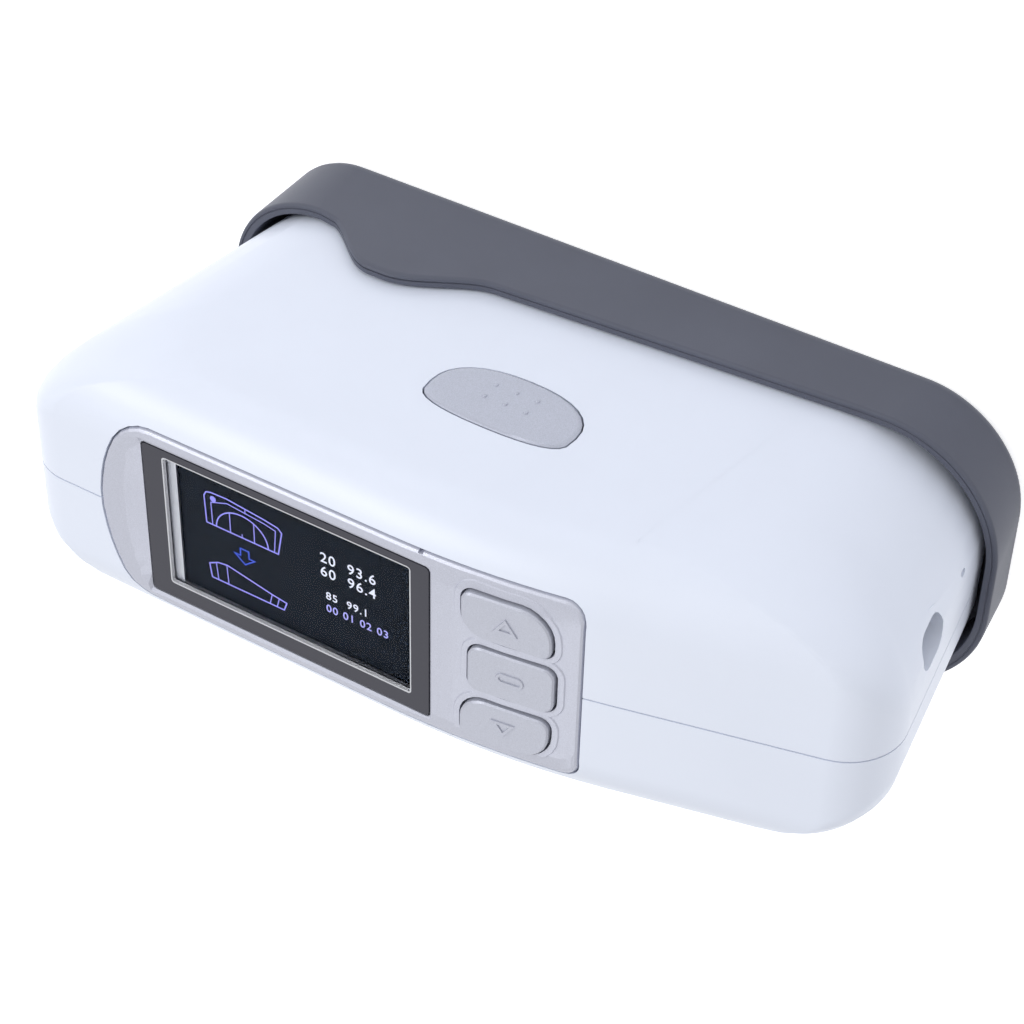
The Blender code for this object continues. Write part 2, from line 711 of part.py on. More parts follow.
def button_outline(grow=0.0):
    """Test button: full round below, flatter towards the display; X and Z as outline X and Y."""
    points = []
    for index in range(BUTTON_POINTS):
        angle = 2 * math.pi * index / BUTTON_POINTS
        across = math.cos(angle)
        up = math.sin(angle)
        if up >= 0:
            power = BUTTON_TOP_POWER
            height = BUTTON_RISE + grow
        else:
            power = BUTTON_SIDE_POWER
            height = BUTTON_DROP + grow
        x = (BUTTON_HALF_LENGTH + grow) * math.copysign(abs(across) ** BUTTON_SIDE_POWER, across)
        z = height * math.copysign(abs(up) ** power, up)
        points.append((x, BUTTON_Z + z))
    return points


def smoothstep(value):
    value = min(max(value, 0.0), 1.0)
    return value * value * (3 - 2 * value)


def rim_height(x):
    """Height of the base's rim over x: level at the far end, a lobe, then a long fall to the port end."""
    run_end = end_x(-1, RIM_PORT_Z) + TRAY_PORT_CORNER
    fall = (RIM_SLOPE_START_Z - RIM_PORT_Z) / (RIM_SLOPE_START_X - run_end)
    line = RIM_SLOPE_START_Z + (x - RIM_SLOPE_START_X) * fall
    if x > LOBE_X + LOBE_FLAT / 2:
        share = smoothstep((x - LOBE_X - LOBE_FLAT / 2) / LOBE_FAR_RUN)
        return LOBE_Z + (RIM_FAR_Z - LOBE_Z) * share
    share = smoothstep((LOBE_X - LOBE_FLAT / 2 - x) / LOBE_PORT_RUN)
    return LOBE_Z + (line - LOBE_Z) * share


def end_x(side, z):
    """X of the housing's end plane at height z; side +1 is the far end, -1 the port end."""
    if side > 0:
        return FAR_END_X + (z - FAR_END_Z) * math.tan(FAR_END_TAPER)
    return PORT_END_X - (z - PORT_END_Z) * math.tan(PORT_END_TAPER)


# Each end of the base: height of its rim, clearance to the housing, corner radius at the foot and at the rim
TRAY_FAR_END = (RIM_FAR_Z, TRAY_FAR_CLEARANCE, TRAY_FAR_FOOT_CORNER, TRAY_FAR_CORNER)
TRAY_PORT_END = (RIM_PORT_Z, TRAY_PORT_CLEARANCE, TRAY_PORT_FOOT_CORNER, TRAY_PORT_CORNER)
TRAY_CORNER_STEPS = 9
TRAY_SIDE_STATIONS = 16


def tray_ring(offset, share):
    """Closed line round the base wall, offset outwards from the housing's clearance line; share runs
    from 0 at the top of the foot's fillet to 1 at the rim."""
    half = HALF + TRAY_SIDE_CLEARANCE + offset
    start_z = TRAY_FOOT_FILLET
    points = []
    for side_x, side_y, turn in ((1, -1, 0), (1, 1, 1), (-1, 1, 2), (-1, -1, 3)):
        if side_x > 0:
            top, clearance, foot_corner, rim_corner = TRAY_FAR_END
        else:
            top, clearance, foot_corner, rim_corner = TRAY_PORT_END
        radius = foot_corner + (rim_corner - foot_corner) * share + offset - TRAY_WALL
        for step in range(TRAY_CORNER_STEPS + 1):
            angle = -math.pi / 2 + turn * math.pi / 2 + step * math.pi / 2 / TRAY_CORNER_STEPS
            z = start_z + (top - start_z) * share
            corner_x = end_x(side_x, z) + side_x * (clearance + offset) - side_x * radius
            corner_y = side_y * (half - radius)
            x = corner_x + radius * math.cos(angle)
            y = corner_y + radius * math.sin(angle)
            points.append((x, y, z))
        if turn in (1, 3):
            points += tray_run(half, share, start_z, -1 if turn == 1 else 1)
    return points


def tray_run(half, share, start_z, direction):
    """The long side of the base between its corners, with the lobe; direction is the way along X."""
    far = end_x(1, RIM_FAR_Z) - TRAY_FAR_CORNER
    port = end_x(-1, RIM_PORT_Z) + TRAY_PORT_CORNER
    start, end = (far, port) if direction < 0 else (port, far)
    y = half if direction < 0 else -half
    points = []
    for step in range(1, TRAY_SIDE_STATIONS):
        x = start + (end - start) * step / TRAY_SIDE_STATIONS
        points.append((x, y, start_z + (rim_height(x) - start_z) * share))
    return points


def level(ring, z):
    return [(x, y, z) for x, y, _ in ring]


WALL_SHARES = (0.35, 0.7)
TRAY_FOOT_STEPS = 4


def base_tray(group, surface):
    """Wall, rim and floor of the base as one moulded piece, with a pocket for the tile."""
    rings = []
    for step in range(TRAY_FOOT_STEPS + 1):
        angle = step / TRAY_FOOT_STEPS * math.pi / 2
        inset = TRAY_FOOT_FILLET * (1 - math.sin(angle))
        rings.append(level(tray_ring(TRAY_WALL - inset, 0.0), TRAY_FOOT_FILLET * (1 - math.cos(angle))))
    rise = RIM_PORT_Z - TRAY_FOOT_FILLET
    for share in (*WALL_SHARES, 1 - RIM_OUTER_CHAMFER / rise):
        rings.append(tray_ring(TRAY_WALL, share))
    rings.append(tray_ring(TRAY_WALL - RIM_OUTER_CHAMFER, 1.0))
    rings.append(tray_ring(RIM_INNER_CHAMFER, 1.0))
    for share in (1 - RIM_INNER_CHAMFER / rise, *reversed(WALL_SHARES)):
        rings.append(tray_ring(0.0, share))
    rings.append(level(tray_ring(0.0, 0.0), TRAY_FLOOR))
    tray = loft("base_tray", rings, group, surface)
    reach_x = TILE_LENGTH / 2 + GAP
    reach_y = TILE_WIDTH / 2 + GAP
    pocket = box("tile_pocket", (-reach_x, -reach_y, TRAY_FLOOR - TILE_THICKNESS - GAP - TILE_CHAMFER / 2),
                 (reach_x, reach_y, TRAY_FLOOR + PAST), CUTTERS)
    boolean(tray, as_cutter(pocket))
    return smooth(tray)


def calibration_tile(group, surface):
    low = TRAY_FLOOR - TILE_THICKNESS
    tile = box("calibration_tile", (-TILE_LENGTH / 2, -TILE_WIDTH / 2, low),
               (TILE_LENGTH / 2, TILE_WIDTH / 2, TRAY_FLOOR), group, surface)
    edge = tile.modifiers.new("Bevel", "BEVEL")
    edge.width = TILE_CHAMFER
    edge.segments = 1
    return tile


def face_cutter(name, grow, top, bottom):
    return as_cutter(face_slab(name, grow, top, bottom, CUTTERS, sections=CUTTER_STRIPS))


def y_cutter(name, outline, low, high):
    """Prism along Y from low to high, its outline in world X and Z."""
    return as_cutter(plate(name, outline, high - low, side_matrix((low + high) / 2), CUTTERS))


def z_cutter(name, outline, low, high):
    return as_cutter(plate(name, outline, high - low, flat_matrix((low + high) / 2), CUTTERS))


def x_cutter(name, outline, low, high):
    """Prism along X from low to high; outline X is world Z and outline Y is world Y."""
    matrix = Matrix.Translation(((low + high) / 2, 0.0, 0.0)) @ Matrix.Rotation(-math.pi / 2, 4, "Y")
    return as_cutter(plate(name, outline, high - low, matrix, CUTTERS))


def shift(outline, x, y):
    return [(a + x, b + y) for a, b in outline]


def housing(group, surface):
    """Both halves with the openings for the bezel, plate, button, port and screws."""
    front = housing_half("front_shell", -1, group, surface)
    rear = housing_half("rear_shell", 1, group, surface)
    add_bosses(front, rear)
    recess = face_cutter("bezel_recess", GAP, 4 * PAST, BEZEL_PROUD - BEZEL_THICKNESS - GAP)
    opening = face_cutter("bezel_opening", -BEZEL_LEDGE, 4 * PAST, -TOP_FILLET)
    plate_hole = rounded_box(-PLATE_HALF_LENGTH - GAP, PLATE_HALF_LENGTH + GAP,
                             -PLATE_HALF_WIDTH - GAP, PLATE_HALF_WIDTH + GAP, PLATE_CORNER)
    foot = z_cutter("plate_opening", plate_hole, UNDERSIDE_Z - PAST, UNDERSIDE_Z + BODY_WALL + PAST)
    for half in (front, rear):
        boolean(half, recess)
        boolean(half, opening)
        boolean(half, foot)
    boolean(front, y_cutter("button_opening", button_outline(GAP), -HALF - PAST, -HALF + BODY_WALL + PAST))
    port = shift(slot_outline(PORT_HEIGHT, PORT_WIDTH), PORT_Z, PORT_Y)
    boolean(front, x_cutter("port_opening", port, PORT_END_X - 4 * PAST, port_inner_x() + PAST))
    reset = shift(slot_outline(SLOT_LENGTH, SLOT_WIDTH, 3), SLOT_Z, SLOT_Y)
    wall = end_x(-1, SLOT_Z)
    boolean(front, x_cutter("reset_opening", reset, wall - 2 * PAST, wall + 2 * BODY_WALL + PAST))
    smooth(front)
    smooth(rear)


def port_inner_x():
    """X of the socket's mouth, PORT_DEPTH inside the port end."""
    return end_x(-1, PORT_Z) + PORT_DEPTH


def port_end_bow(y):
    """How far the rounded port end falls back at a distance y from the seam."""
    share = max(y - (HALF - PORT_END_FILLET), 0.0) / PORT_END_FILLET
    return PORT_END_REACH * (1 - math.sqrt(1 - share ** 2))


BOSS_SIDES = 14
HEAD_BORE_SIDES = 20
BORE_SIDES = 12


def add_bosses(front, rear):
    """Screw bosses inside both halves and the collar round the port."""
    for index, (x, z) in enumerate(CASE_SCREWS):
        for half, side in ((front, -1), (rear, 1)):
            root = (x, side * (HALF - BODY_WALL / 2), z)
            post = rod("%s_post_%d" % (half.name, index), root, (x, side * GAP, z), BOSS_RADIUS, CUTTERS,
                       sides=BOSS_SIDES)
            boolean(half, as_cutter(post), "UNION")
    collar = shift(slot_outline(PORT_HEIGHT + 2 * PORT_COLLAR, PORT_WIDTH + 2 * PORT_COLLAR), PORT_Z, PORT_Y)
    start = end_x(-1, PORT_Z) + port_end_bow(abs(PORT_Y) + PORT_WIDTH / 2 + PORT_COLLAR) + GAP
    boolean(front, x_cutter("port_collar", collar, start, port_inner_x() - GAP), "UNION")
    for index, (x, z) in enumerate(CASE_SCREWS):
        seat = HALF - SCREW_SINK - SCREW_HEAD_HEIGHT
        shaft_radius = SCREW_SHAFT_RADIUS + GAP
        bore = rod("head_bore_%d" % index, (x, seat, z), (x, HALF + PAST, z), SCREW_HEAD_RADIUS + GAP,
                   CUTTERS, sides=HEAD_BORE_SIDES)
        boolean(rear, as_cutter(bore))
        bore = rod("shaft_bore_%d" % index, (x, -PAST, z), (x, seat + PAST, z), shaft_radius,
                   CUTTERS, sides=BORE_SIDES)
        boolean(rear, as_cutter(bore))
        bore = rod("thread_bore_%d" % index, (x, PAST, z), (x, -SCREW_REACH - PAST, z), shaft_radius,
                   CUTTERS, sides=BORE_SIDES)
        boolean(front, as_cutter(bore))


# Shape of a screw head: its flat top and its straight side as shares of radius and height, and its socket
HEAD_FLAT_SHARE = 0.7
HEAD_SIDE_SHARE = 0.6
HEAD_SOCKET_SHARE = 0.5
HEAD_SOCKET_FLOOR = 0.4
SCREW_SIDES = 12
SOCKET_SIDES = 6


def screw(name, foot, direction, head_radius, head_height, shaft_radius, length, group, surface):
    """Pan-head screw with a hexagon socket; foot is the head's seat and direction points out of it."""
    profile = [(0.0, head_height), (head_radius * HEAD_FLAT_SHARE, head_height),
               (head_radius, head_height * HEAD_SIDE_SHARE),
               (head_radius, 0.0), (shaft_radius, 0.0), (shaft_radius, -length + shaft_radius),
               (0.0, -length)]
    matrix = along(foot, Vector(foot) + Vector(direction))
    body = turned(name, profile, matrix, group, surface, SCREW_SIDES)
    socket = rod(name + "_socket", Vector(foot) + Vector(direction) * head_height * HEAD_SOCKET_FLOOR,
                 Vector(foot) + Vector(direction) * (head_height + PAST), head_radius * HEAD_SOCKET_SHARE,
                 CUTTERS, sides=SOCKET_SIDES)
    boolean(body, as_cutter(socket))
    return smooth(body)


def case_screws(group, surface):
    for index, (x, z) in enumerate(CASE_SCREWS):
        seat = HALF - SCREW_SINK - SCREW_HEAD_HEIGHT + GAP
        length = seat + SCREW_REACH
        screw("case_screw_%d" % (index + 1), (x, seat, z), (0, 1, 0), SCREW_HEAD_RADIUS, SCREW_HEAD_HEIGHT,
              SCREW_SHAFT_RADIUS, length, group, surface)


def window_outline():
    return rounded_box(WINDOW_PORT_X, WINDOW_FAR_X, -WINDOW_HALF_WIDTH, WINDOW_HALF_WIDTH, WINDOW_CORNER, 2)


DISH_STEPS = 10


def dish_ring(share, z):
    """Ring between the window (share 0) and the dish's upper edge (share 1), its far side bowed out."""
    points = []
    side = WINDOW_HALF_WIDTH + DISH_SIDE_MARGIN * share
    points.append((WINDOW_PORT_X - DISH_PORT_MARGIN * share, side, z))
    points.append((WINDOW_PORT_X - DISH_PORT_MARGIN * share, -side, z))
    for step in range(DISH_STEPS + 1):
        along_side = step / DISH_STEPS * 2 - 1
        bow = DISH_CORNER_SHARE + (1 - DISH_CORNER_SHARE) * (1 - along_side ** 2)
        points.append((WINDOW_FAR_X + DISH_FAR_MARGIN * share * bow, side * along_side, z))
    return points


FRAME_TOP = BODY_TOP + BEZEL_PROUD - DISH_DEPTH


KEY_NAMES = ("up", "enter", "down")


def key_plateau():
    """Slightly raised field round the three keys; it follows the curved face and its sides have a draft."""
    depth = PLATEAU_MARGIN
    spread = depth * math.tan(PLATEAU_DRAFT)
    fields = []
    for which in KEY_NAMES:
        rings = []
        for height, margin in ((-depth, PLATEAU_MARGIN + spread), (depth, PLATEAU_MARGIN - spread)):
            rings.append([face_matrix(KEY_COLUMN_X, height) @ Vector((x, y, 0.0))
                          for x, y in key_outline(which, margin)])
        fields.append(as_cutter(loft("key_field_" + which, rings, CUTTERS)))
    for field in fields[1:]:
        boolean(fields[0], field, "UNION")
    skin = face_slab("key_plateau", 0.0, BEZEL_PROUD + PLATEAU_RISE, BEZEL_PROUD - PLATEAU_RISE, CUTTERS)
    return as_cutter(boolean(skin, fields[0], "INTERSECT"))


def display_bezel(group, surface):
    bezel = face_slab("display_bezel", 0.0, BEZEL_PROUD, BEZEL_PROUD - BEZEL_THICKNESS, group, surface,
                      edge=BEZEL_EDGE)
    boolean(bezel, key_plateau(), "UNION")
    reach = BEZEL_NOTCH_WIDTH / 2
    notch_low = (BEZEL_NOTCH_X - reach, -BEZEL_HALF_WIDTH - PAST, BODY_TOP - 2 * PAST)
    notch_high = (BEZEL_NOTCH_X + reach, -BEZEL_HALF_WIDTH + BEZEL_NOTCH_DEPTH, BODY_TOP + PAST)
    boolean(bezel, as_cutter(box("bezel_notch", notch_low, notch_high, CUTTERS)))
    for sign in (-1, 1):
        tip = face_matrix(KEY_COLUMN_X) @ Vector((KEY_POST_X, sign * KEY_POST_Y, key_board_top() + GAP))
        root = face_matrix(KEY_COLUMN_X) @ Vector((KEY_POST_X, sign * KEY_POST_Y, -BEZEL_THICKNESS / 2))
        name = "key_post_rear" if sign > 0 else "key_post_front"
        post = rod(name, root, tip, KEY_POST_RADIUS, CUTTERS, sides=BOSS_SIDES)
        boolean(bezel, as_cutter(post), "UNION")
    overshoot = 1 + PAST / DISH_DEPTH
    dish = [dish_ring(0.0, FRAME_TOP), dish_ring(overshoot, FRAME_TOP + DISH_DEPTH * overshoot)]
    boolean(bezel, as_cutter(loft("dish", dish, CUTTERS)))
    boolean(bezel, z_cutter("window", window_outline(), BODY_TOP - 4 * PAST, BODY_TOP + 4 * PAST))
    for which in KEY_NAMES:
        outline = key_outline(which, KEY_CLEARANCE)
        tool = plate("hole_" + which, outline, 8 * PAST, face_matrix(KEY_COLUMN_X), CUTTERS)
        boolean(bezel, as_cutter(tool))
    return smooth(bezel)


WINDOW_CORNER_STEPS = 3
SCREEN_RIM_CORNER = 1.0 * MM
SCREEN_VIEW_CORNER = 0.3 * MM
SCREEN_EDGE = 0.2 * MM
DISPLAY_BOARD_MARGIN = 1.0 * MM


def display_stack(group, looks):
    """Dark window frame, clear lens, the screen's metal frame, the screen and its board, top to bottom."""
    inner = GAP
    outer = rounded_box(WINDOW_PORT_X + inner, WINDOW_FAR_X - inner, -WINDOW_HALF_WIDTH + inner,
                        WINDOW_HALF_WIDTH - inner, WINDOW_CORNER, WINDOW_CORNER_STEPS)
    low_x = WINDOW_PORT_X + FRAME_PORT_BORDER
    high_x = WINDOW_FAR_X - FRAME_FAR_BORDER
    low_y = -WINDOW_HALF_WIDTH + FRAME_FRONT_BORDER
    high_y = WINDOW_HALF_WIDTH - FRAME_REAR_BORDER
    clear = rounded_box(low_x, high_x, low_y, high_y, WINDOW_CORNER, WINDOW_CORNER_STEPS)
    ring_plate("window_frame", outer, clear, FRAME_THICKNESS, flat_matrix(FRAME_TOP - FRAME_THICKNESS / 2),
               group, looks["frame"])
    glass = rounded_box(low_x + GAP, high_x - GAP, low_y + GAP, high_y - GAP, WINDOW_CORNER - GAP,
                        WINDOW_CORNER_STEPS)
    plate("display_lens", glass, LENS_THICKNESS, flat_matrix(FRAME_TOP - LENS_SINK - LENS_THICKNESS / 2),
          group, looks["lens"])
    top = FRAME_TOP - FRAME_THICKNESS - GAP
    screen_low = (low_x - LCD_BEZEL_BORDER, low_y - LCD_BEZEL_BORDER)
    screen_high = (high_x + LCD_BEZEL_BORDER, high_y + LCD_BEZEL_BORDER)
    rim = rounded_box(screen_low[0], screen_high[0], screen_low[1], screen_high[1], SCREEN_RIM_CORNER,
                      WINDOW_CORNER_STEPS)
    view = rounded_box(low_x + LCD_OPENING_MARGIN, high_x - LCD_FAR_MARGIN, low_y + LCD_OPENING_MARGIN,
                       high_y - LCD_OPENING_MARGIN, SCREEN_VIEW_CORNER, WINDOW_CORNER_STEPS)
    ring_plate("lcd_bezel", rim, view, LCD_BEZEL_THICKNESS, flat_matrix(top - LCD_BEZEL_THICKNESS / 2),
               group, looks["lcd_bezel"])
    top -= LCD_BEZEL_THICKNESS + GAP
    box("lcd_panel", (*screen_low, top - LCD_THICKNESS), (*screen_high, top), group, looks["lcd"],
        SCREEN_EDGE)
    top -= LCD_THICKNESS + GAP
    box("display_board", (screen_low[0] - DISPLAY_BOARD_MARGIN, screen_low[1], top - BOARD_THICKNESS),
        (screen_high[0] + DISPLAY_BOARD_MARGIN, screen_high[1], top), group, looks["board"])


def key_stop():
    """Height of a key's flange top in the face frame, clear of the bezel's underside at its lowest."""
    sag = (KEY_WIDTH / 2 + KEY_FLANGE) ** 2 / (2 * SLOPE_BLEND_RADIUS)
    return BEZEL_PROUD - BEZEL_THICKNESS - GAP - sag - face_drop(KEY_OUTER_Y + KEY_FLANGE)


def key_stem_end():
    return key_stop() - KEY_FLANGE_THICKNESS - KEY_STEM_LENGTH


def key_switch_top():
    return key_stem_end() - KEY_TRAVEL - GAP


def key_board_top():
    return key_switch_top() - KEY_PLUNGER_HEIGHT - KEY_SWITCH_HEIGHT - GAP


SWITCH_EDGE = 0.3 * MM


def keys(group, looks):
    """Three keys with retaining flanges, the switches under them and the board that carries them."""
    for which in KEY_NAMES:
        x, y = key_centre(which)
        frame = face_matrix(KEY_COLUMN_X)
        depth = KEY_PROUD - key_stop() + KEY_FLANGE_THICKNESS / 2
        cap = key_cap(which, depth, frame, group, looks["key"])
        flange = plate("flange_" + which, key_outline(which, KEY_FLANGE), KEY_FLANGE_THICKNESS,
                       face_matrix(KEY_COLUMN_X, key_stop() - KEY_FLANGE_THICKNESS / 2), CUTTERS)
        boolean(cap, as_cutter(flange), "UNION")
        stem = rod("stem_" + which, frame @ Vector((x, y, key_stem_end())),
                   frame @ Vector((x, y, key_stop() - KEY_FLANGE_THICKNESS / 2)), KEY_STEM_RADIUS, CUTTERS,
                   sides=BOSS_SIDES)
        boolean(cap, as_cutter(stem), "UNION")
        smooth(cap)
        switch_low = key_board_top() + GAP
        side = KEY_SWITCH_SIDE / 2
        body = box("key_switch_" + which, (x - side, y - side, switch_low),
                   (x + side, y + side, switch_low + KEY_SWITCH_HEIGHT), group, looks["switch"], SWITCH_EDGE)
        body.matrix_world = frame @ body.matrix_world
        plunger = rod("plunger_" + which, frame @ Vector((x, y, switch_low + KEY_SWITCH_HEIGHT / 2)),
                      frame @ Vector((x, y, key_switch_top())), KEY_PLUNGER_RADIUS, CUTTERS, sides=BOSS_SIDES)
        boolean(body, as_cutter(plunger), "UNION")
    board = box("key_board", (-KEY_BOARD_PORT, -KEY_BOARD_HALF_WIDTH, key_board_top() - BOARD_THICKNESS),
                (KEY_BOARD_FAR, KEY_BOARD_HALF_WIDTH, key_board_top()), group, looks["board"])
    board.matrix_world = face_matrix(KEY_COLUMN_X) @ board.matrix_world


def key_cap(which, depth, frame, group, surface):
    """Cap with a chamfered edge, from its raised top down into the flange."""
    full = key_outline(which)
    small = key_outline(which, -KEY_CHAMFER)
    rings = []
    for outline, height in ((small, KEY_PROUD), (full, KEY_PROUD - KEY_CHAMFER), (full, KEY_PROUD - depth)):
        rings.append([frame @ Vector((x, y, height)) for x, y in outline])
    return loft("key_" + which, rings, group, surface)


def test_button(group, looks):
    """Button cap with dots, a flange behind the housing wall, a stem, and the switch that it presses."""
    flange_outer = -HALF + BODY_WALL + GAP
    root = -HALF - flange_outer - BUTTON_FLANGE_THICKNESS / 2
    rings = []
    for inset, drop in (*BUTTON_EDGE, (0.0, BUTTON_PROUD - root)):
        rings.append([(x, -HALF - BUTTON_PROUD + drop, z) for x, z in button_outline(-inset)])
    button = loft("test_button", rings, group, looks["button"])
    flange = y_cutter("button_flange", button_outline(BUTTON_FLANGE), flange_outer,
                      flange_outer + BUTTON_FLANGE_THICKNESS)
    boolean(button, flange, "UNION")
    stem_start = flange_outer + BUTTON_FLANGE_THICKNESS / 2
    stem_end = flange_outer + BUTTON_FLANGE_THICKNESS + BUTTON_STEM_LENGTH
    boolean(button, as_cutter(rod("button_stem", (0, stem_start, BUTTON_Z), (0, stem_end, BUTTON_Z),
                                  BUTTON_STEM_RADIUS, CUTTERS)), "UNION")
    for row in (-1, 1):
        for column in (-1, 0, 1):
            place = (column * BUTTON_DOT_PITCH_X, -HALF - BUTTON_PROUD + BUTTON_DOT_SINK,
                     BUTTON_DOT_Z + row * BUTTON_DOT_PITCH_Z / 2)
            bpy.ops.mesh.primitive_uv_sphere_add(segments=BUTTON_DOT_SEGMENTS, ring_count=BUTTON_DOT_RINGS,
                                                 radius=BUTTON_DOT_RADIUS, location=place)
            dot = adopt(bpy.context.object, "button_dot", CUTTERS)
            boolean(button, as_cutter(dot), "UNION")
    smooth(button)
    side = TEST_SWITCH_SIDE / 2
    back = BOARD_Y - BOARD_THICKNESS - GAP
    tip = stem_end + BUTTON_TRAVEL + GAP
    body_front = tip + TEST_PLUNGER_REACH
    switch = box("test_switch", (-side, body_front, BUTTON_Z - side), (side, back, BUTTON_Z + side), group,
                 looks["switch"], SWITCH_EDGE)
    boolean(switch, as_cutter(rod("test_plunger", (0, tip, BUTTON_Z), (0, body_front + PAST, BUTTON_Z),
                                  TEST_PLUNGER_RADIUS, CUTTERS)), "UNION")


def beam_point(angle, reach):
    """Point on a beam at an angle from the vertical; a positive angle leans to +X."""
    return Vector((math.sin(angle) * reach, 0.0, SPOT.z + math.cos(angle) * reach))


# The three measuring angles in degrees from the vertical
STEEP_ANGLE = 20
MIDDLE_ANGLE = 60
GRAZING_ANGLE = 85
BEAMS = ((STEEP_ANGLE, MODULE_RADIUS, MODULE_BORE), (MIDDLE_ANGLE, MODULE_RADIUS, MODULE_BORE),
         (GRAZING_ANGLE, GRAZING_RADIUS, GRAZING_BORE))
BLOCK_ARC_STEPS = 24
MODULE_SIDES = 12
LENS_SIDES = 10


def beam_start(degrees):
    """Where a module's back face begins, along its beam."""
    if degrees == GRAZING_ANGLE:
        return (BLOCK_FOOT_REACH + GAP) / math.sin(degrees * DEG) + GRAZING_SEAT
    return BLOCK_RADIUS + MODULE_SEAT + GAP


def optics_block(group, surface):
    """Arch of black metal with three pairs of beam channels that meet at the measured spot."""
    rise = BLOCK_Z - SPOT.z
    start = math.asin(rise / BLOCK_RADIUS)
    foot_top = BLOCK_Z + BLOCK_FOOT_HEIGHT
    shoulder = math.asin((foot_top - SPOT.z) / BLOCK_RADIUS)
    outline = [(BLOCK_FOOT_REACH, BLOCK_Z), (BLOCK_FOOT_REACH, foot_top)]
    outline += arc((0.0, SPOT.z), BLOCK_RADIUS, shoulder, math.pi - shoulder, BLOCK_ARC_STEPS)
    outline += [(-BLOCK_FOOT_REACH, foot_top), (-BLOCK_FOOT_REACH, BLOCK_Z)]
    block = plate("optics_block", outline, 2 * BLOCK_HALF_THICKNESS, side_matrix(0.0), group, surface)
    for degrees in (STEEP_ANGLE, MIDDLE_ANGLE):
        for side in (-1, 1):
            angle = side * degrees * DEG
            seat = rod("seat_%d_%d" % (degrees, side), beam_point(angle, BLOCK_RADIUS - SEAT_ROOT),
                       beam_point(angle, BLOCK_RADIUS + MODULE_SEAT), MODULE_RADIUS, CUTTERS,
                       sides=BOSS_SIDES)
            boolean(block, as_cutter(seat), "UNION")
    for x, z in (STANDOFF_LOW, STANDOFF_HIGH):
        for side in (-1, 1):
            standoff = rod("standoff", (side * x, -BLOCK_HALF_THICKNESS + PAST, z),
                           (side * x, -BLOCK_HALF_THICKNESS - STANDOFF_HEIGHT, z), STANDOFF_RADIUS,
                           CUTTERS, sides=BORE_SIDES)
            boolean(block, as_cutter(standoff), "UNION")
    for degrees, _, bore in BEAMS:
        for side in (-1, 1):
            angle = side * degrees * DEG
            channel = rod("channel_%d_%d" % (degrees, side), beam_point(angle, 2 * PAST),
                          beam_point(angle, BLOCK_FOOT_REACH + 4 * MODULE_SEAT), bore, CUTTERS,
                          sides=BORE_SIDES)
            boolean(block, as_cutter(channel))
    chamber_x = APERTURE_LENGTH / 2 + GLASS_MARGIN + CHAMBER_MARGIN
    chamber_y = APERTURE_WIDTH / 2 + GLASS_MARGIN / 2 + CHAMBER_MARGIN
    chamber = box("chamber", (-chamber_x, -chamber_y, BLOCK_Z - PAST),
                  (chamber_x, chamber_y, BLOCK_Z + CHAMBER_HEIGHT), CUTTERS)
    boolean(block, as_cutter(chamber))
    for index, (x, y) in enumerate(plate_screw_places()):
        hole = rod("block_hole_%d" % index, (x, y, BLOCK_Z - PAST),
                   (x, y, UNDERSIDE_Z + PLATE_SCREW_SINK + PLATE_SCREW_LENGTH), PLATE_SCREW_SHAFT + GAP,
                   CUTTERS, sides=BORE_SIDES)
        boolean(block, as_cutter(hole))
    return smooth(block)


def plate_screw_places():
    return [(x * PLATE_SCREW_X, y * PLATE_SCREW_Y) for x in (-1, 1) for y in (-1, 1)]


def light_modules(group, looks):
    """A lamp on the +X side and a detector on the -X side of each beam, each with its lens."""
    for degrees, radius, bore in BEAMS:
        for side, kind in ((1, "lamp"), (-1, "detector")):
            angle = side * degrees * DEG
            start = beam_start(degrees)
            matrix = along(beam_point(angle, start), beam_point(angle, start + MODULE_LENGTH))
            spigot = bore - GAP
            length = MODULE_LENGTH
            neck = radius * MODULE_NECK_SHARE
            profile = [(0.0, length), (neck - MODULE_CHAMFER * bore / MODULE_BORE, length),
                       (neck, length - MODULE_CHAMFER), (neck, length / 2 + MODULE_CHAMFER / 2),
                       (radius, length / 2 - MODULE_CHAMFER / 2), (radius, 0.0),
                       (spigot, 0.0), (spigot, -MODULE_SPIGOT), (0.0, -MODULE_SPIGOT)]
            turned("%s_%d" % (kind, degrees), profile, matrix, group, looks[kind], MODULE_SIDES)
            top = -MODULE_SPIGOT - GAP
            foot = top - MODULE_LENS_THICKNESS
            glass = [(0.0, top), (spigot, top - MODULE_LENS_BULGE),
                     (spigot, foot + MODULE_LENS_BULGE), (0.0, foot)]
            turned("%s_lens_%d" % (kind, degrees), glass, matrix, group, looks["lens"], LENS_SIDES)


GLASS_EDGE = 0.2 * MM


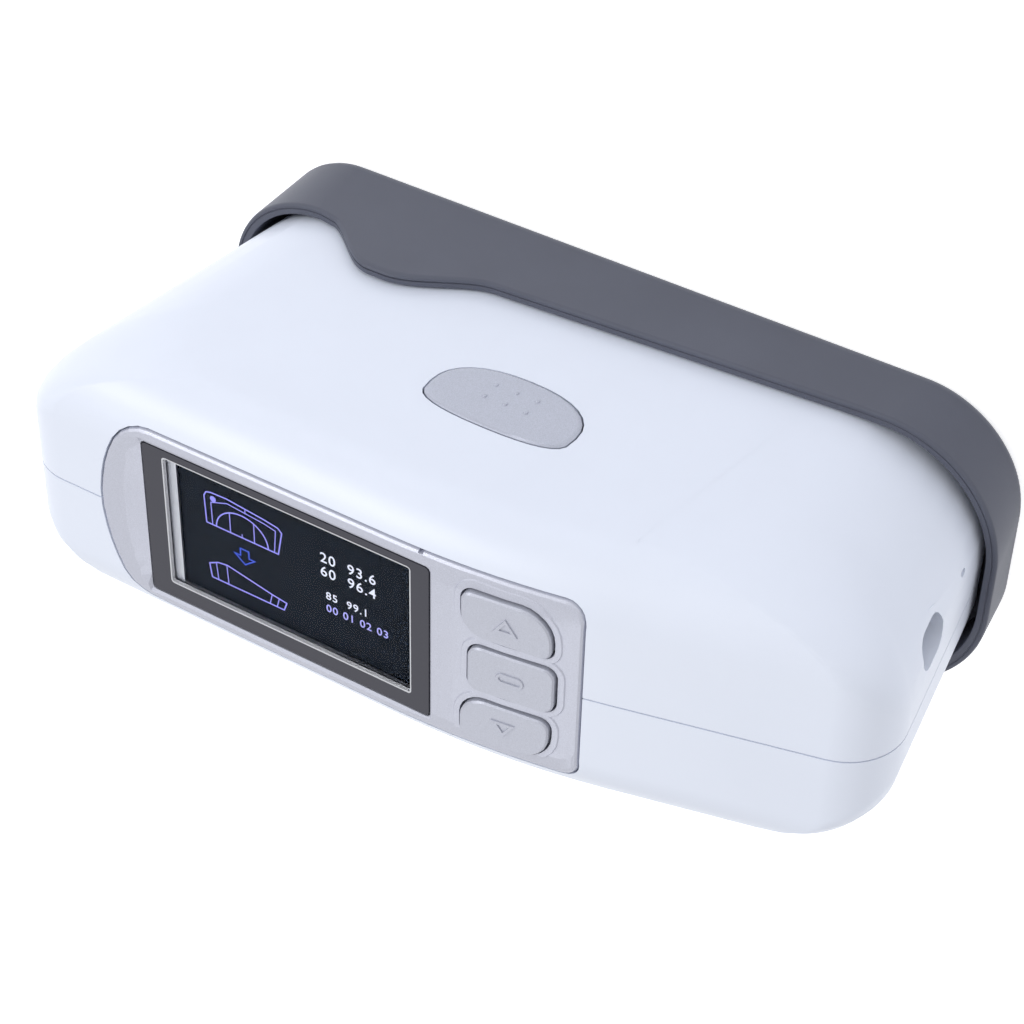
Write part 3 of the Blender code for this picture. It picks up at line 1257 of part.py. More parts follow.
def measuring_plate(group, looks):
    """Underside plate with its inner flange, the aperture, the beam grooves and the glass over them."""
    low = UNDERSIDE_Z
    step = UNDERSIDE_Z + BODY_WALL + GAP
    outline = rounded_box(-PLATE_HALF_LENGTH, PLATE_HALF_LENGTH, -PLATE_HALF_WIDTH, PLATE_HALF_WIDTH,
                          PLATE_CORNER)
    body = plate("measuring_plate", outline, PLATE_TOP - low, flat_matrix((low + PLATE_TOP) / 2), group,
                 looks["plate"])
    wide = rounded_box(-PLATE_HALF_LENGTH - PLATE_FLANGE, PLATE_HALF_LENGTH + PLATE_FLANGE,
                       -PLATE_HALF_WIDTH - PLATE_FLANGE, PLATE_HALF_WIDTH + PLATE_FLANGE,
                       PLATE_CORNER + PLATE_FLANGE)
    boolean(body, z_cutter("plate_flange", wide, step, PLATE_TOP), "UNION")
    slot = rounded_box(-APERTURE_LENGTH / 2, APERTURE_LENGTH / 2, -APERTURE_WIDTH / 2, APERTURE_WIDTH / 2,
                       APERTURE_CORNER)
    boolean(body, z_cutter("aperture", slot, low - PAST, PLATE_TOP + PAST))
    for side in (-1, 1):
        angle = side * GRAZING_ANGLE * DEG
        groove = rod("beam_groove_%d" % side, beam_point(angle, APERTURE_LENGTH / 2 - APERTURE_CORNER),
                     beam_point(angle, BLOCK_FOOT_REACH + PAST), GRAZING_BORE, CUTTERS, sides=BORE_SIDES)
        boolean(body, as_cutter(groove))
    for index, (x, y) in enumerate(plate_screw_places()):
        hole = rod("plate_hole_%d" % index, (x, y, low - PAST), (x, y, PLATE_TOP + PAST),
                   PLATE_SCREW_SHAFT + GAP, CUTTERS, sides=BORE_SIDES)
        boolean(body, as_cutter(hole))
        sink = rod("plate_sink_%d" % index, (x, y, low - PAST), (x, y, low + PLATE_SCREW_SINK),
                   PLATE_SCREW_HEAD + GAP, CUTTERS, sides=BOSS_SIDES)
        boolean(body, as_cutter(sink))
        screw("plate_screw_%d" % (index + 1), (x, y, low + PLATE_SCREW_SINK - GAP), (0, 0, -1),
              PLATE_SCREW_HEAD, PLATE_SCREW_HEAD_HEIGHT, PLATE_SCREW_SHAFT, PLATE_SCREW_LENGTH, group,
              looks["screw"])
    reach_x = APERTURE_LENGTH / 2 + GLASS_MARGIN
    reach_y = APERTURE_WIDTH / 2 + GLASS_MARGIN / 2
    box("aperture_window", (-reach_x, -reach_y, PLATE_TOP + GAP),
        (reach_x, reach_y, PLATE_TOP + GAP + GLASS_THICKNESS), group, looks["lens"], GLASS_EDGE)
    return smooth(body)


SOCKET_EDGE = 0.4 * MM
BATTERY_EDGE = 1.5 * MM


def electronics(group, looks):
    """Main board, charging socket and battery."""
    box("main_board", (MAIN_BOARD_PORT_X, BOARD_Y - BOARD_THICKNESS, MAIN_BOARD_LOW_Z),
        (MAIN_BOARD_FAR_X, BOARD_Y, MAIN_BOARD_HIGH_Z), group, looks["board"])
    front = port_inner_x()
    socket = box("usb_socket", (front, BOARD_Y + GAP, PORT_Z - SOCKET_WIDTH / 2),
                 (front + SOCKET_LENGTH, BOARD_Y + GAP + SOCKET_THICKNESS, PORT_Z + SOCKET_WIDTH / 2), group,
                 looks["socket"], SOCKET_EDGE)
    half_mouth = SOCKET_WIDTH / 2 - SOCKET_WALL
    mouth = box("socket_mouth", (front - PAST, BOARD_Y + GAP + SOCKET_WALL, PORT_Z - half_mouth),
                (front + SOCKET_DEPTH, BOARD_Y + GAP + SOCKET_THICKNESS - SOCKET_WALL, PORT_Z + half_mouth),
                CUTTERS)
    boolean(socket, as_cutter(mouth))
    start = BLOCK_HALF_THICKNESS + GAP
    box("battery_pack", (-BATTERY_LENGTH / 2, start, BATTERY_Z - BATTERY_HEIGHT / 2),
        (BATTERY_LENGTH / 2, start + BATTERY_THICKNESS, BATTERY_Z + BATTERY_HEIGHT / 2), group,
        looks["battery"], BATTERY_EDGE)


def finishes():
    return {
        "shell": material("white_plastic", (0.80, 0.83, 0.90), 0.35),
        "tray": material("grey_plastic", (0.14, 0.15, 0.19), 0.45),
        "tile": material("black_glass", (0.01, 0.01, 0.012), 0.05),
        "bezel": material("silver_paint", (0.55, 0.56, 0.62), 0.4, 0.6),
        "frame": material("dark_frame", (0.09, 0.085, 0.11), 0.5),
        "lens": material("clear_glass", (0.95, 0.97, 1.0), 0.03, 0.0, 0.9),
        "lcd_bezel": material("screen_frame", (0.6, 0.62, 0.66), 0.4, 0.5),
        "lcd": material("screen", (0.02, 0.025, 0.035), 0.15),
        "board": material("circuit_board", (0.02, 0.16, 0.06), 0.5),
        "key": material("silver_key", (0.48, 0.48, 0.54), 0.45, 0.4),
        "button": material("silver_button", (0.46, 0.47, 0.54), 0.42, 0.5),
        "switch": material("switch_body", (0.03, 0.03, 0.03), 0.5),
        "block": material("black_metal", (0.03, 0.03, 0.03), 0.6, 0.6),
        "lamp": material("lamp_holder", (0.05, 0.05, 0.05), 0.5),
        "detector": material("detector_holder", (0.35, 0.36, 0.38), 0.35, 0.9),
        "plate": material("plate_plastic", (0.04, 0.04, 0.045), 0.5),
        "socket": material("socket_metal", (0.6, 0.6, 0.62), 0.3, 1.0),
        "battery": material("battery_wrap", (0.05, 0.12, 0.3), 0.35),
        "screw": material("screw_steel", (0.5, 0.5, 0.52), 0.3, 1.0),
    }


clear_scene()
PARTS = new_collection("gloss_meter")
CUTTERS = new_collection("gloss_meter_cutters")
LOOKS = finishes()
base_tray(PARTS, LOOKS["tray"])
calibration_tile(PARTS, LOOKS["tile"])
housing(PARTS, LOOKS["shell"])
case_screws(PARTS, LOOKS["screw"])
display_bezel(PARTS, LOOKS["bezel"])
display_stack(PARTS, LOOKS)
keys(PARTS, LOOKS)
test_button(PARTS, LOOKS)
optics_block(PARTS, LOOKS["block"])
light_modules(PARTS, LOOKS)
measuring_plate(PARTS, LOOKS)
electronics(PARTS, LOOKS)
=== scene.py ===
"""Looks of a hand-held gloss meter that stands in its calibration base."""

import json
import math
import bpy
import bmesh
from mathutils import Matrix, Vector


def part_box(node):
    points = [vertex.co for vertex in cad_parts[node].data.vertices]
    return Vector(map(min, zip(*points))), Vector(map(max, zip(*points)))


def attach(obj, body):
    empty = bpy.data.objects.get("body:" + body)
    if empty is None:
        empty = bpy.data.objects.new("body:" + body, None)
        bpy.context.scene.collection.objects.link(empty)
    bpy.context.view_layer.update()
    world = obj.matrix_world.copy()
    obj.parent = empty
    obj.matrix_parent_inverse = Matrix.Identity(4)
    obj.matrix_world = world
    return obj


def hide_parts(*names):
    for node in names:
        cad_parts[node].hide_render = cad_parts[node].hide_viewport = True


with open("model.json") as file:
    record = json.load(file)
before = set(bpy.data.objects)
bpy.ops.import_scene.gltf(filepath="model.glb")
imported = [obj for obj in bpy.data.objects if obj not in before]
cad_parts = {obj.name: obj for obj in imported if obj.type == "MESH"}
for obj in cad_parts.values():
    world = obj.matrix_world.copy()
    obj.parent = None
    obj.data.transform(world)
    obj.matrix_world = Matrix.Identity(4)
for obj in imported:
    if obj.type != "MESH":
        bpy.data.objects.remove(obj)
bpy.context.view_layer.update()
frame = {"nodes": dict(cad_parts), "record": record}

MM = 0.001
NODES = frame["nodes"]

# Camera of the photograph, in the object's frame: it is rolled, because the object lay on its rear face
CAMERA_PLACE = Vector((-0.1809, -0.2894, 0.3359))
CAMERA_RIGHT = Vector((-0.8418, -0.0203, -0.5394))
CAMERA_UP = Vector((0.3596, -0.7663, -0.5324))
CAMERA_BACK = Vector((-0.4025, -0.6421, 0.6524))
CAMERA_LENS = 90.97
CAMERA_SENSOR = 36.0
CAMERA_NEAR = 0.01

# Screen: middle, and height and thickness of what is drawn on it
SCREEN_CENTRE = Vector((22.6 * MM, -0.9 * MM))
DRAWING_LIFT = 0.03 * MM
DRAWING_THICKNESS = 0.05 * MM

# Screen drawings, in millimetres from the middle of the screen, X to the reader's right and Y up
LINE = 0.24
FINE_LINE = 0.17
MITRE_LIMIT = 0.35
ARC_STEPS = 20
METER_FOOT = 2.1
METER_OUTLINE = ((-17.9, METER_FOOT), (-18.1, 8.0), (-17.6, 8.9), (-16.6, 9.2), (-13.2, 9.3), (-5.4, 8.4),
                 (-2.6, 7.9), (-1.8, 7.1), (-2.7, METER_FOOT))
METER_INNER = ((-16.6, METER_FOOT), (-16.7, 7.0), (-13.2, 8.3), (-5.4, 7.5), (-3.1, 7.0), (-3.5, METER_FOOT))
METER_MIDDLE = -10.3
METER_ARCH = (5.5, 4.9)
METER_POSTS = ((-12.8, METER_FOOT, 6.4), (-7.7, METER_FOOT, 6.4), (METER_MIDDLE, METER_FOOT, 2.9),
               (-9.4, 8.9, 7.9))
METER_DOT = (-16.2, 7.9, 0.62)
ARROW_OUTLINE = ((-10.9, -0.5), (-9.1, -0.5), (-9.1, -2.1), (-7.9, -2.1), (-10.0, -3.8), (-12.1, -2.1),
                 (-10.9, -2.1))
BASE_FOOT = -10.2
BASE_OUTLINE = ((-17.9, -7.2), (-16.0, -6.2), (-13.9, -5.9), (-4.5, -7.9), (-1.4, -8.4), (-2.0, BASE_FOOT),
                (-17.5, BASE_FOOT))
BASE_POSTS = (((-16.4, -6.4), (-16.1, BASE_FOOT)), ((-14.1, -6.0), (-13.9, BASE_FOOT)),
              ((-4.5, -8.0), (-5.0, BASE_FOOT)), ((-3.0, -8.2), (-3.5, BASE_FOOT)))

# Rows of numbers on the screen: name, text, place, height of the letters and colour
NUMBER_ROWS = (("screen_digits_20", "20  93.6", 6.0, 4.9, 3.0, "white"),
               ("screen_digits_60", "60  96.4", 6.0, 1.9, 3.0, "white"),
               ("screen_digits_85", "85  99.1", 7.0, -3.0, 2.3, "white"),
               ("screen_digits_count", "00 01 02 03", 7.0, -5.8, 2.3, "violet"))
DIGIT_WEIGHT = 0.01 * MM
DIGIT_SPACING = 1.15

# Marks on the keys, in the plane of their tops
KEY_PRESS = Vector(next(joint["axis"] for joint in frame["record"]["behaviour"]["joints"]
                        if joint["name"] == "key_up_press")).normalized()
MARK_RAISE = 0.24 * MM
MARK_EDGE = 0.08 * MM
MARK_SINK = 0.06 * MM
MARK_SLOPE = 0.10 * MM
MARK_WIDTH = 4.4 * MM
MARK_LENGTH = 3.2 * MM
MARK_STROKE = 0.62 * MM
RING_LENGTH = 5.0 * MM
RING_WIDTH = 2.3 * MM
RING_END_STEPS = 12

# Sides of a mark: how far they lean in, and the height
MARK_LEVELS = ((0.0, -MARK_SINK), (0.0, MARK_EDGE), (MARK_SLOPE, MARK_RAISE))

# Ring at the edge of the glass between the dark frame and the clear window; its light grey is a painted
# highlight of that edge
LINER_CLEARANCE = 0.03 * MM
LINER_JOINT = 0.27 * MM
LINER_RISE = 0.06 * MM
LINER_OUTER_CORNER = 0.7 * MM
LINER_INNER_CORNER = LINER_OUTER_CORNER - LINER_JOINT + LINER_CLEARANCE
LINER_CORNER_STEPS = 4

# Tongue in the mouth of the charging socket
MOUTH_DEPTH = 4.9 * MM
MOUTH_WALL = 0.6 * MM
TONGUE_CLEARANCE = 0.02 * MM
TONGUE_BLOCK = 0.7 * MM
TONGUE_THICKNESS = 0.7 * MM
TONGUE_SETBACK = 0.8 * MM
TONGUE_EDGE = 0.2 * MM

# Calibration base, by the values of its CAD node
HALF_THICKNESS = 25.9 * MM
FAR_END_X = 81.9 * MM
FAR_END_Z = 75.5 * MM
FAR_END_TAPER = math.radians(6.4)
PORT_END_X = -80.8 * MM
PORT_END_Z = 50.9 * MM
PORT_END_TAPER = math.radians(9.0)
TRAY_FLOOR = 4.2 * MM
TRAY_WALL = 2.2 * MM
TRAY_SIDE_CLEARANCE = 0.35 * MM
TRAY_FOOT_FILLET = 3.2 * MM
RIM_FAR_Z = 18.3 * MM
RIM_PORT_Z = 15.6 * MM
RIM_SLOPE_START = Vector((18.0 * MM, 20.2 * MM))
LOBE_X = 39.2 * MM
LOBE_Z = 27.8 * MM
LOBE_FLAT = 3.0 * MM
LOBE_FAR_RUN = 16.0 * MM
LOBE_PORT_RUN = 19.0 * MM
TRAY_FAR_CLEARANCE = 0.6 * MM
TRAY_FAR_FOOT_CORNER = 16.5 * MM
TRAY_FAR_CORNER = 20.5 * MM
TRAY_PORT_CLEARANCE = 1.3 * MM
TRAY_PORT_FOOT_CORNER = 21.0 * MM
TRAY_PORT_CORNER = 23.5 * MM
POCKET_MARGIN = 0.3 * MM
POCKET_DEPTH = 2.5 * MM

# Its ends, by the side in X: height of the rim, clearance, and corner radius at the foot and at the rim
TRAY_ENDS = {1: (RIM_FAR_Z, TRAY_FAR_CLEARANCE, TRAY_FAR_FOOT_CORNER, TRAY_FAR_CORNER),
             -1: (RIM_PORT_Z, TRAY_PORT_CLEARANCE, TRAY_PORT_FOOT_CORNER, TRAY_PORT_CORNER)}

# Its rim in section, in millimetres: inset from the outer wall and drop from the top
RIM_SECTION = ((0.0, 0.60), (0.10, 0.28), (0.30, 0.08), (0.55, 0.0), (0.78, 0.0), (0.86, 0.16), (1.02, 0.16),
               (1.10, 0.0), (1.90, 0.0), (2.12, 0.10), (2.20, 0.32))
WALL_SHARES = (0.35, 0.7)
FOOT_STEPS = 6
CORNER_STEPS = 28
SIDE_STATIONS = 120

# Shading of the faceted nodes: edges under the angle are smooth
JOIN_DISTANCE = 0.002 * MM
FLAT_ANGLE = math.radians(0.05)
SMOOTH_ANGLE = math.radians(30.0)
DISH_ANGLE = math.radians(9.0)
MOULDED_NODES = ("front_shell", "rear_shell", "window_frame", "test_button",
                 "key_up", "key_enter", "key_down", "measuring_plate", "optics_block")

# Noise: the span of its values that is used, and its sizes in features a metre
NOISE_LOW = 0.3
NOISE_HIGH = 0.7
MOTTLE_SCALE = 60.0
WAVE_SCALE = 180.0
FLAKE_SCALE = 9000.0
COAT_SCALE = 5200.0
PEEL_SCALE = 420.0
TOOL_MARK_SCALE = 2600.0
HAZE_SCALE = 700.0
LAPPING_SCALE = 120.0
CLOUD_SCALE = 300.0
DOT_SCALE = 3000.0
BOARD_SCALE = 900.0
TRACK_SCALE = 260.0
FLOOR_SCALE = 6.0

# How far the looks vary: spreads of the roughness, shares of the colour, heights and strengths of the bumps
GRAIN_SPREAD = 0.04
WAVE_STRENGTH = 0.4
FLAKE_SHARES = (0.86, 1.12)
FLAKE_HEIGHT = 0.006 * MM
COAT_SPREAD = 0.07
PEEL_HEIGHT = 0.01 * MM
PEEL_STRENGTH = 0.5
TOOL_MARK_SPREAD = 0.08
TOOL_MARK_SHARES = (0.94, 1.04)
TOOL_MARK_HEIGHT = 0.006 * MM
HAZE_SHARE = 0.4
CLOUD_SHARES = (0.9, 1.1)
LAPPING_HEIGHT = 0.001 * MM
LAPPING_STRENGTH = 0.5
DOT_ROUGHNESS = 0.6
DOT_SPREAD = 0.1
BOARD_ROUGHNESS = 0.35
BOARD_HEIGHT = 0.02 * MM
TRACK_WIDTH = 0.04
FLOOR_COLOUR = (0.86, 0.87, 0.9)
FLOOR_ROUGHNESS = 0.9
FLOOR_SHARES = (0.995, 1.005)
WHITE = (1.0, 1.0, 1.0, 1.0)

# Light: the world and the floor are seen as white, whatever light they give
WORLD_STRENGTH = 0.665
WORLD_SEEN = 1.0
FLOOR_SIZE = 30.0
FLOOR_DROP = 0.02 * MM
FLOOR_SEEN = 0.7
LAMP_COLOUR = (0.98, 0.99, 1.0)
LAMP_AIM = Vector((0.0, 0.0, 0.04))
# Lamps: name, place, size and power
LAMPS = (("key_light", (0.48, -0.56, 0.82), 0.5, 3.75),
         ("fill_light", (-0.5, -0.75, 0.7), 0.7, 0.6),
         ("back_light", (0.12, 0.72, 0.86), 0.4, 0.7))


def camera():
    """The camera at the photograph's place, with its roll."""
    data = bpy.data.cameras.new("camera")
    data.sensor_width = CAMERA_SENSOR
    data.lens = CAMERA_LENS
    data.clip_start = CAMERA_NEAR
    item = bpy.data.objects.new("camera", data)
    bpy.context.scene.collection.objects.link(item)
    columns = (CAMERA_RIGHT, CAMERA_UP, CAMERA_BACK)
    turn = Matrix([[column[row] for column in columns] for row in range(3)]).to_quaternion()
    item.rotation_mode = "QUATERNION"
    item.rotation_quaternion = turn
    item.location = CAMERA_PLACE
    bpy.context.scene.camera = item


class Look:
    """One procedural material, with its node tree at hand."""

    def __init__(self, name, colour, roughness, metallic=0.0):
        self.material = bpy.data.materials.new(name)
        self.material.use_nodes = True
        self.tree = self.material.node_tree
        self.shader = self.tree.nodes["Principled BSDF"]
        self.colour = colour
        self.roughness = roughness
        self.shader.inputs["Base Color"].default_value = (*colour, 1.0)
        self.shader.inputs["Roughness"].default_value = roughness
        self.shader.inputs["Metallic"].default_value = metallic
        self.place = self.node("ShaderNodeTexCoord").outputs["Object"]

    def node(self, kind, **settings):
        item = self.tree.nodes.new(kind)
        for key, value in settings.items():
            setattr(item, key, value)
        return item

    def link(self, source, target):
        self.tree.links.new(source, target)

    def noise(self, scale, detail=2.0, rough=0.5, stretch=None):
        """Noise in object space; scale is in features a metre."""
        source = self.place
        if stretch:
            mapping = self.node("ShaderNodeMapping")
            mapping.inputs["Scale"].default_value = stretch
            self.link(source, mapping.inputs["Vector"])
            source = mapping.outputs["Vector"]
        item = self.node("ShaderNodeTexNoise")
        item.inputs["Scale"].default_value = scale
        item.inputs["Detail"].default_value = detail
        item.inputs["Roughness"].default_value = rough
        self.link(source, item.inputs["Vector"])
        return item.outputs["Fac"]

    def span(self, source, low, high):
        """Maps a 0..1 noise to a range."""
        item = self.node("ShaderNodeMapRange")
        item.inputs["From Min"].default_value = NOISE_LOW
        item.inputs["From Max"].default_value = NOISE_HIGH
        item.inputs["To Min"].default_value = low
        item.inputs["To Max"].default_value = high
        self.link(source, item.inputs["Value"])
        return item.outputs["Result"]

    def vary_colour(self, source, dark, light):
        """Base colour between a darker and a lighter share of the written colour."""
        mix = self.node("ShaderNodeMix", data_type="RGBA")
        mix.inputs["A"].default_value = (*[min(c * dark, 1.0) for c in self.colour], 1.0)
        mix.inputs["B"].default_value = (*[min(c * light, 1.0) for c in self.colour], 1.0)
        self.link(self.span(source, 0.0, 1.0), mix.inputs["Factor"])
        self.link(mix.outputs["Result"], self.shader.inputs["Base Color"])

    def vary_roughness(self, source, spread):
        """Roughness that varies round the written one."""
        varied = self.span(source, self.roughness - spread, self.roughness + spread)
        self.link(varied, self.shader.inputs["Roughness"])

    def bump(self, source, height, strength=1.0):
        """Bump of a real height in metres; calls stack."""
        item = self.node("ShaderNodeBump")
        item.inputs["Distance"].default_value = height
        item.inputs["Strength"].default_value = strength
        self.link(source, item.inputs["Height"])
        if self.shader.inputs["Normal"].links:
            self.link(self.shader.inputs["Normal"].links[0].from_socket, item.inputs["Normal"])
        self.link(item.outputs["Normal"], self.shader.inputs["Normal"])

    def set(self, **values):
        """Writes values on the shader's own sockets."""
        for key, value in values.items():
            self.shader.inputs[key.replace("_", " ")].default_value = value
        return self


def moulded(name, colour, roughness, grain, grain_height, mottle=0.02):
    """Moulded plastic with a fine spark-eroded grain and a faint flow mottle."""
    look = Look(name, colour, roughness)
    look.vary_colour(look.noise(MOTTLE_SCALE, detail=3.0), 1 - mottle, 1 + mottle)
    fine = look.noise(grain, detail=3.0, rough=0.6)
    look.vary_roughness(fine, GRAIN_SPREAD)
    look.bump(fine, grain_height)
    look.bump(look.noise(WAVE_SCALE), grain_height * 2, WAVE_STRENGTH)
    return look


def painted(name, colour, roughness, metallic):
    """Silver paint: metal flakes as fine bright specks under a satin coat."""
    look = Look(name, colour, roughness, metallic)
    flakes = look.noise(FLAKE_SCALE, detail=1.0, rough=0.7)
    look.vary_colour(flakes, *FLAKE_SHARES)
    look.vary_roughness(look.noise(COAT_SCALE, detail=1.0), COAT_SPREAD)
    look.bump(flakes, FLAKE_HEIGHT)
    look.bump(look.noise(PEEL_SCALE), PEEL_HEIGHT, PEEL_STRENGTH)
    return look


def polished(name, colour, roughness):
    """Polished glass, with a faint haze and the slight waviness that lapping leaves."""
    look = Look(name, colour, roughness)
    look.vary_colour(look.noise(CLOUD_SCALE), *CLOUD_SHARES)
    look.vary_roughness(look.noise(HAZE_SCALE), roughness * HAZE_SHARE)
    look.bump(look.noise(LAPPING_SCALE, detail=1.0), LAPPING_HEIGHT, LAPPING_STRENGTH)
    return look


def brushed(name, colour, roughness, stretch):
    """Metal with fine tool marks along one direction."""
    look = Look(name, colour, roughness, metallic=1.0)
    lines = look.noise(TOOL_MARK_SCALE, detail=3.0, rough=0.6, stretch=stretch)
    look.vary_roughness(lines, TOOL_MARK_SPREAD)
    look.vary_colour(lines, *TOOL_MARK_SHARES)
    look.bump(lines, TOOL_MARK_HEIGHT)
    return look


def glass(name, tint, roughness, index):
    """Clear window; a low index stands for a coat that stops reflections."""
    look = Look(name, tint, roughness)
    look.set(Transmission_Weight=1.0, IOR=index)
    look.vary_roughness(look.noise(HAZE_SCALE), roughness * HAZE_SHARE)
    return look


def glow(name, colour):
    """Lit dots of the screen."""
    look = Look(name, (0.0, 0.0, 0.0), DOT_ROUGHNESS)
    look.set(Emission_Strength=1.0, Emission_Color=(*colour, 1.0))
    look.vary_roughness(look.noise(DOT_SCALE), DOT_SPREAD)
    return look


def circuit_board():
    """Green solder mask over copper tracks."""
    look = Look("board_green", (0.012, 0.11, 0.04), BOARD_ROUGHNESS)
    brick = look.node("ShaderNodeTexBrick")
    brick.inputs["Scale"].default_value = TRACK_SCALE
    brick.inputs["Color1"].default_value = (0.010, 0.10, 0.035, 1.0)
    brick.inputs["Color2"].default_value = (0.016, 0.13, 0.05, 1.0)
    brick.inputs["Mortar"].default_value = (0.03, 0.2, 0.08, 1.0)
    brick.inputs["Mortar Size"].default_value = TRACK_WIDTH
    look.link(look.place, brick.inputs["Vector"])
    look.link(brick.outputs["Color"], look.shader.inputs["Base Color"])
    look.bump(look.noise(BOARD_SCALE), BOARD_HEIGHT)
    return look


def looks():
    """Look of each slot of the record, and the painted highlight of the window's glass edge.

    Colour and roughness come first. Then plastic has its grain's scale and height and its mottle, paint how
    metallic it is, and metal how its tool marks stretch in X, Y and Z."""
    return {
        "shell": moulded("white_satin_plastic", (0.785, 0.83, 0.945), 0.38, 3800.0, 0.004 * MM, 0.008),
        "tray": moulded("dark_grey_plastic", (0.103, 0.110, 0.143), 0.45, 5200.0, 0.02 * MM,
                         0.04).set(Specular_IOR_Level=0.2),
        "tile": polished("black_gloss_glass", (0.008, 0.008, 0.010), 0.03),
        "bezel": painted("silver_paint", (0.525, 0.54, 0.625), 0.42, 0.33),
        "frame": moulded("dark_frame_plastic", (0.050, 0.050, 0.066), 0.34, 2600.0,
                          0.003 * MM).set(Specular_IOR_Level=0.3),
        "lens": glass("clear_window", WHITE[:3], roughness=0.02, index=1.06),
        # Light grey of the ring at the window's glass edge: a painted highlight
        "edge_highlight": moulded("glass_edge_painted_highlight", (0.64, 0.65, 0.69), 0.3, 2600.0, 0.001 * MM),
        "lcd_bezel": brushed("screen_bright_frame", (0.62, 0.64, 0.70), 0.4, (1.0, 12.0, 1.0)),
        "lcd": moulded("screen_dark", (0.008, 0.012, 0.020), 0.3, 5000.0,
                        0.001 * MM).set(Specular_IOR_Level=0.02),
        "board": circuit_board(),
        "key": painted("silver_key_paint", (0.47, 0.485, 0.56), 0.42, 0.25),
        "button": painted("silver_button_paint", (0.44, 0.46, 0.54), 0.42, 0.3),
        "switch": moulded("black_nylon", (0.02, 0.02, 0.022), 0.5, 2600.0, 0.01 * MM),
        "block": brushed("black_anodised", (0.03, 0.03, 0.033), 0.5, (1.0, 1.0, 14.0)),
        "lamp": moulded("black_holder", (0.03, 0.03, 0.034), 0.45, 2600.0, 0.01 * MM),
        "detector": brushed("turned_metal", (0.42, 0.43, 0.45), 0.3, (1.0, 1.0, 10.0)),
        "plate": moulded("black_plate_plastic", (0.03, 0.03, 0.035), 0.45, 4200.0, 0.02 * MM),
        "socket": brushed("plated_socket", (0.62, 0.63, 0.66), 0.25, (10.0, 1.0, 1.0)),
        "battery": moulded("battery_wrap", (0.03, 0.09, 0.28), 0.28, 900.0, 0.02 * MM),
        "screw": brushed("plated_steel", (0.55, 0.56, 0.6), 0.28, (1.0, 1.0, 8.0)),
    }


def dress_nodes(table):
    """Each CAD node takes the look of its record slot."""
    for part in frame["record"]["subparts"]:
        item = NODES[part["node"]]
        item.data.materials.clear()
        item.data.materials.append(table[part["material_slot"]].material)


def smoothing_nodes(name, limit):
    """Node group that joins split facets, drops their stored normals and shades all but sharp edges."""
    tree = bpy.data.node_groups.new(name, "GeometryNodeTree")
    tree.interface.new_socket("Geometry", in_out="INPUT", socket_type="NodeSocketGeometry")
    tree.interface.new_socket("Geometry", in_out="OUTPUT", socket_type="NodeSocketGeometry")
    steps = [tree.nodes.new(kind) for kind in (
        "NodeGroupInput", "GeometryNodeMergeByDistance", "GeometryNodeRemoveAttribute",
        "GeometryNodeSetShadeSmooth", "GeometryNodeSetShadeSmooth", "NodeGroupOutput")]
    for before, after in zip(steps, steps[1:]):
        tree.links.new(before.outputs[0], after.inputs[0])
    _, merge, drop, faces, edges, _ = steps
    merge.inputs["Distance"].default_value = JOIN_DISTANCE
    drop.inputs["Name"].default_value = "custom_normal"
    faces.domain = "FACE"
    edges.domain = "EDGE"
    edges.inputs["Shade Smooth"].default_value = False
    angle = tree.nodes.new("GeometryNodeInputMeshEdgeAngle")
    sharp = tree.nodes.new("FunctionNodeCompare")
    sharp.operation = "GREATER_THAN"
    sharp.inputs["B"].default_value = limit
    tree.links.new(angle.outputs["Unsigned Angle"], sharp.inputs["A"])
    tree.links.new(sharp.outputs[0], edges.inputs["Selection"])
    return tree


def smooth_node(item, tree):
    """Adds the steps that shade a faceted piece smooth; flat areas are joined, so that no facet shows."""
    item.modifiers.new("Smooth facets", "NODES").node_group = tree
    flats = item.modifiers.new("Join flat facets", "DECIMATE")
    flats.decimate_type = "DISSOLVE"
    flats.angle_limit = FLAT_ANGLE
    weights = item.modifiers.new("Weighted normals", "WEIGHTED_NORMAL")
    weights.mode = "FACE_AREA_WITH_ANGLE"
    weights.keep_sharp = True


def smoothstep(value):
    value = min(max(value, 0.0), 1.0)
    return value * value * (3 - 2 * value)


def rim_height(x):
    """Height of the base's rim over x: level at the far end, a lobe, then a long fall to the port end."""
    run_end = end_x(-1, RIM_PORT_Z) + TRAY_PORT_CORNER
    fall = (RIM_SLOPE_START.y - RIM_PORT_Z) / (RIM_SLOPE_START.x - run_end)
    line = RIM_SLOPE_START.y + (x - RIM_SLOPE_START.x) * fall
    if x > LOBE_X + LOBE_FLAT / 2:
        share = smoothstep((x - LOBE_X - LOBE_FLAT / 2) / LOBE_FAR_RUN)
        return LOBE_Z + (RIM_FAR_Z - LOBE_Z) * share
    share = smoothstep((LOBE_X - LOBE_FLAT / 2 - x) / LOBE_PORT_RUN)
    return LOBE_Z + (line - LOBE_Z) * share


def end_x(side, z):
    """X of the housing's end plane at height z; side +1 is the far end, -1 the port end."""
    if side > 0:
        return FAR_END_X + (z - FAR_END_Z) * math.tan(FAR_END_TAPER)
    return PORT_END_X - (z - PORT_END_Z) * math.tan(PORT_END_TAPER)


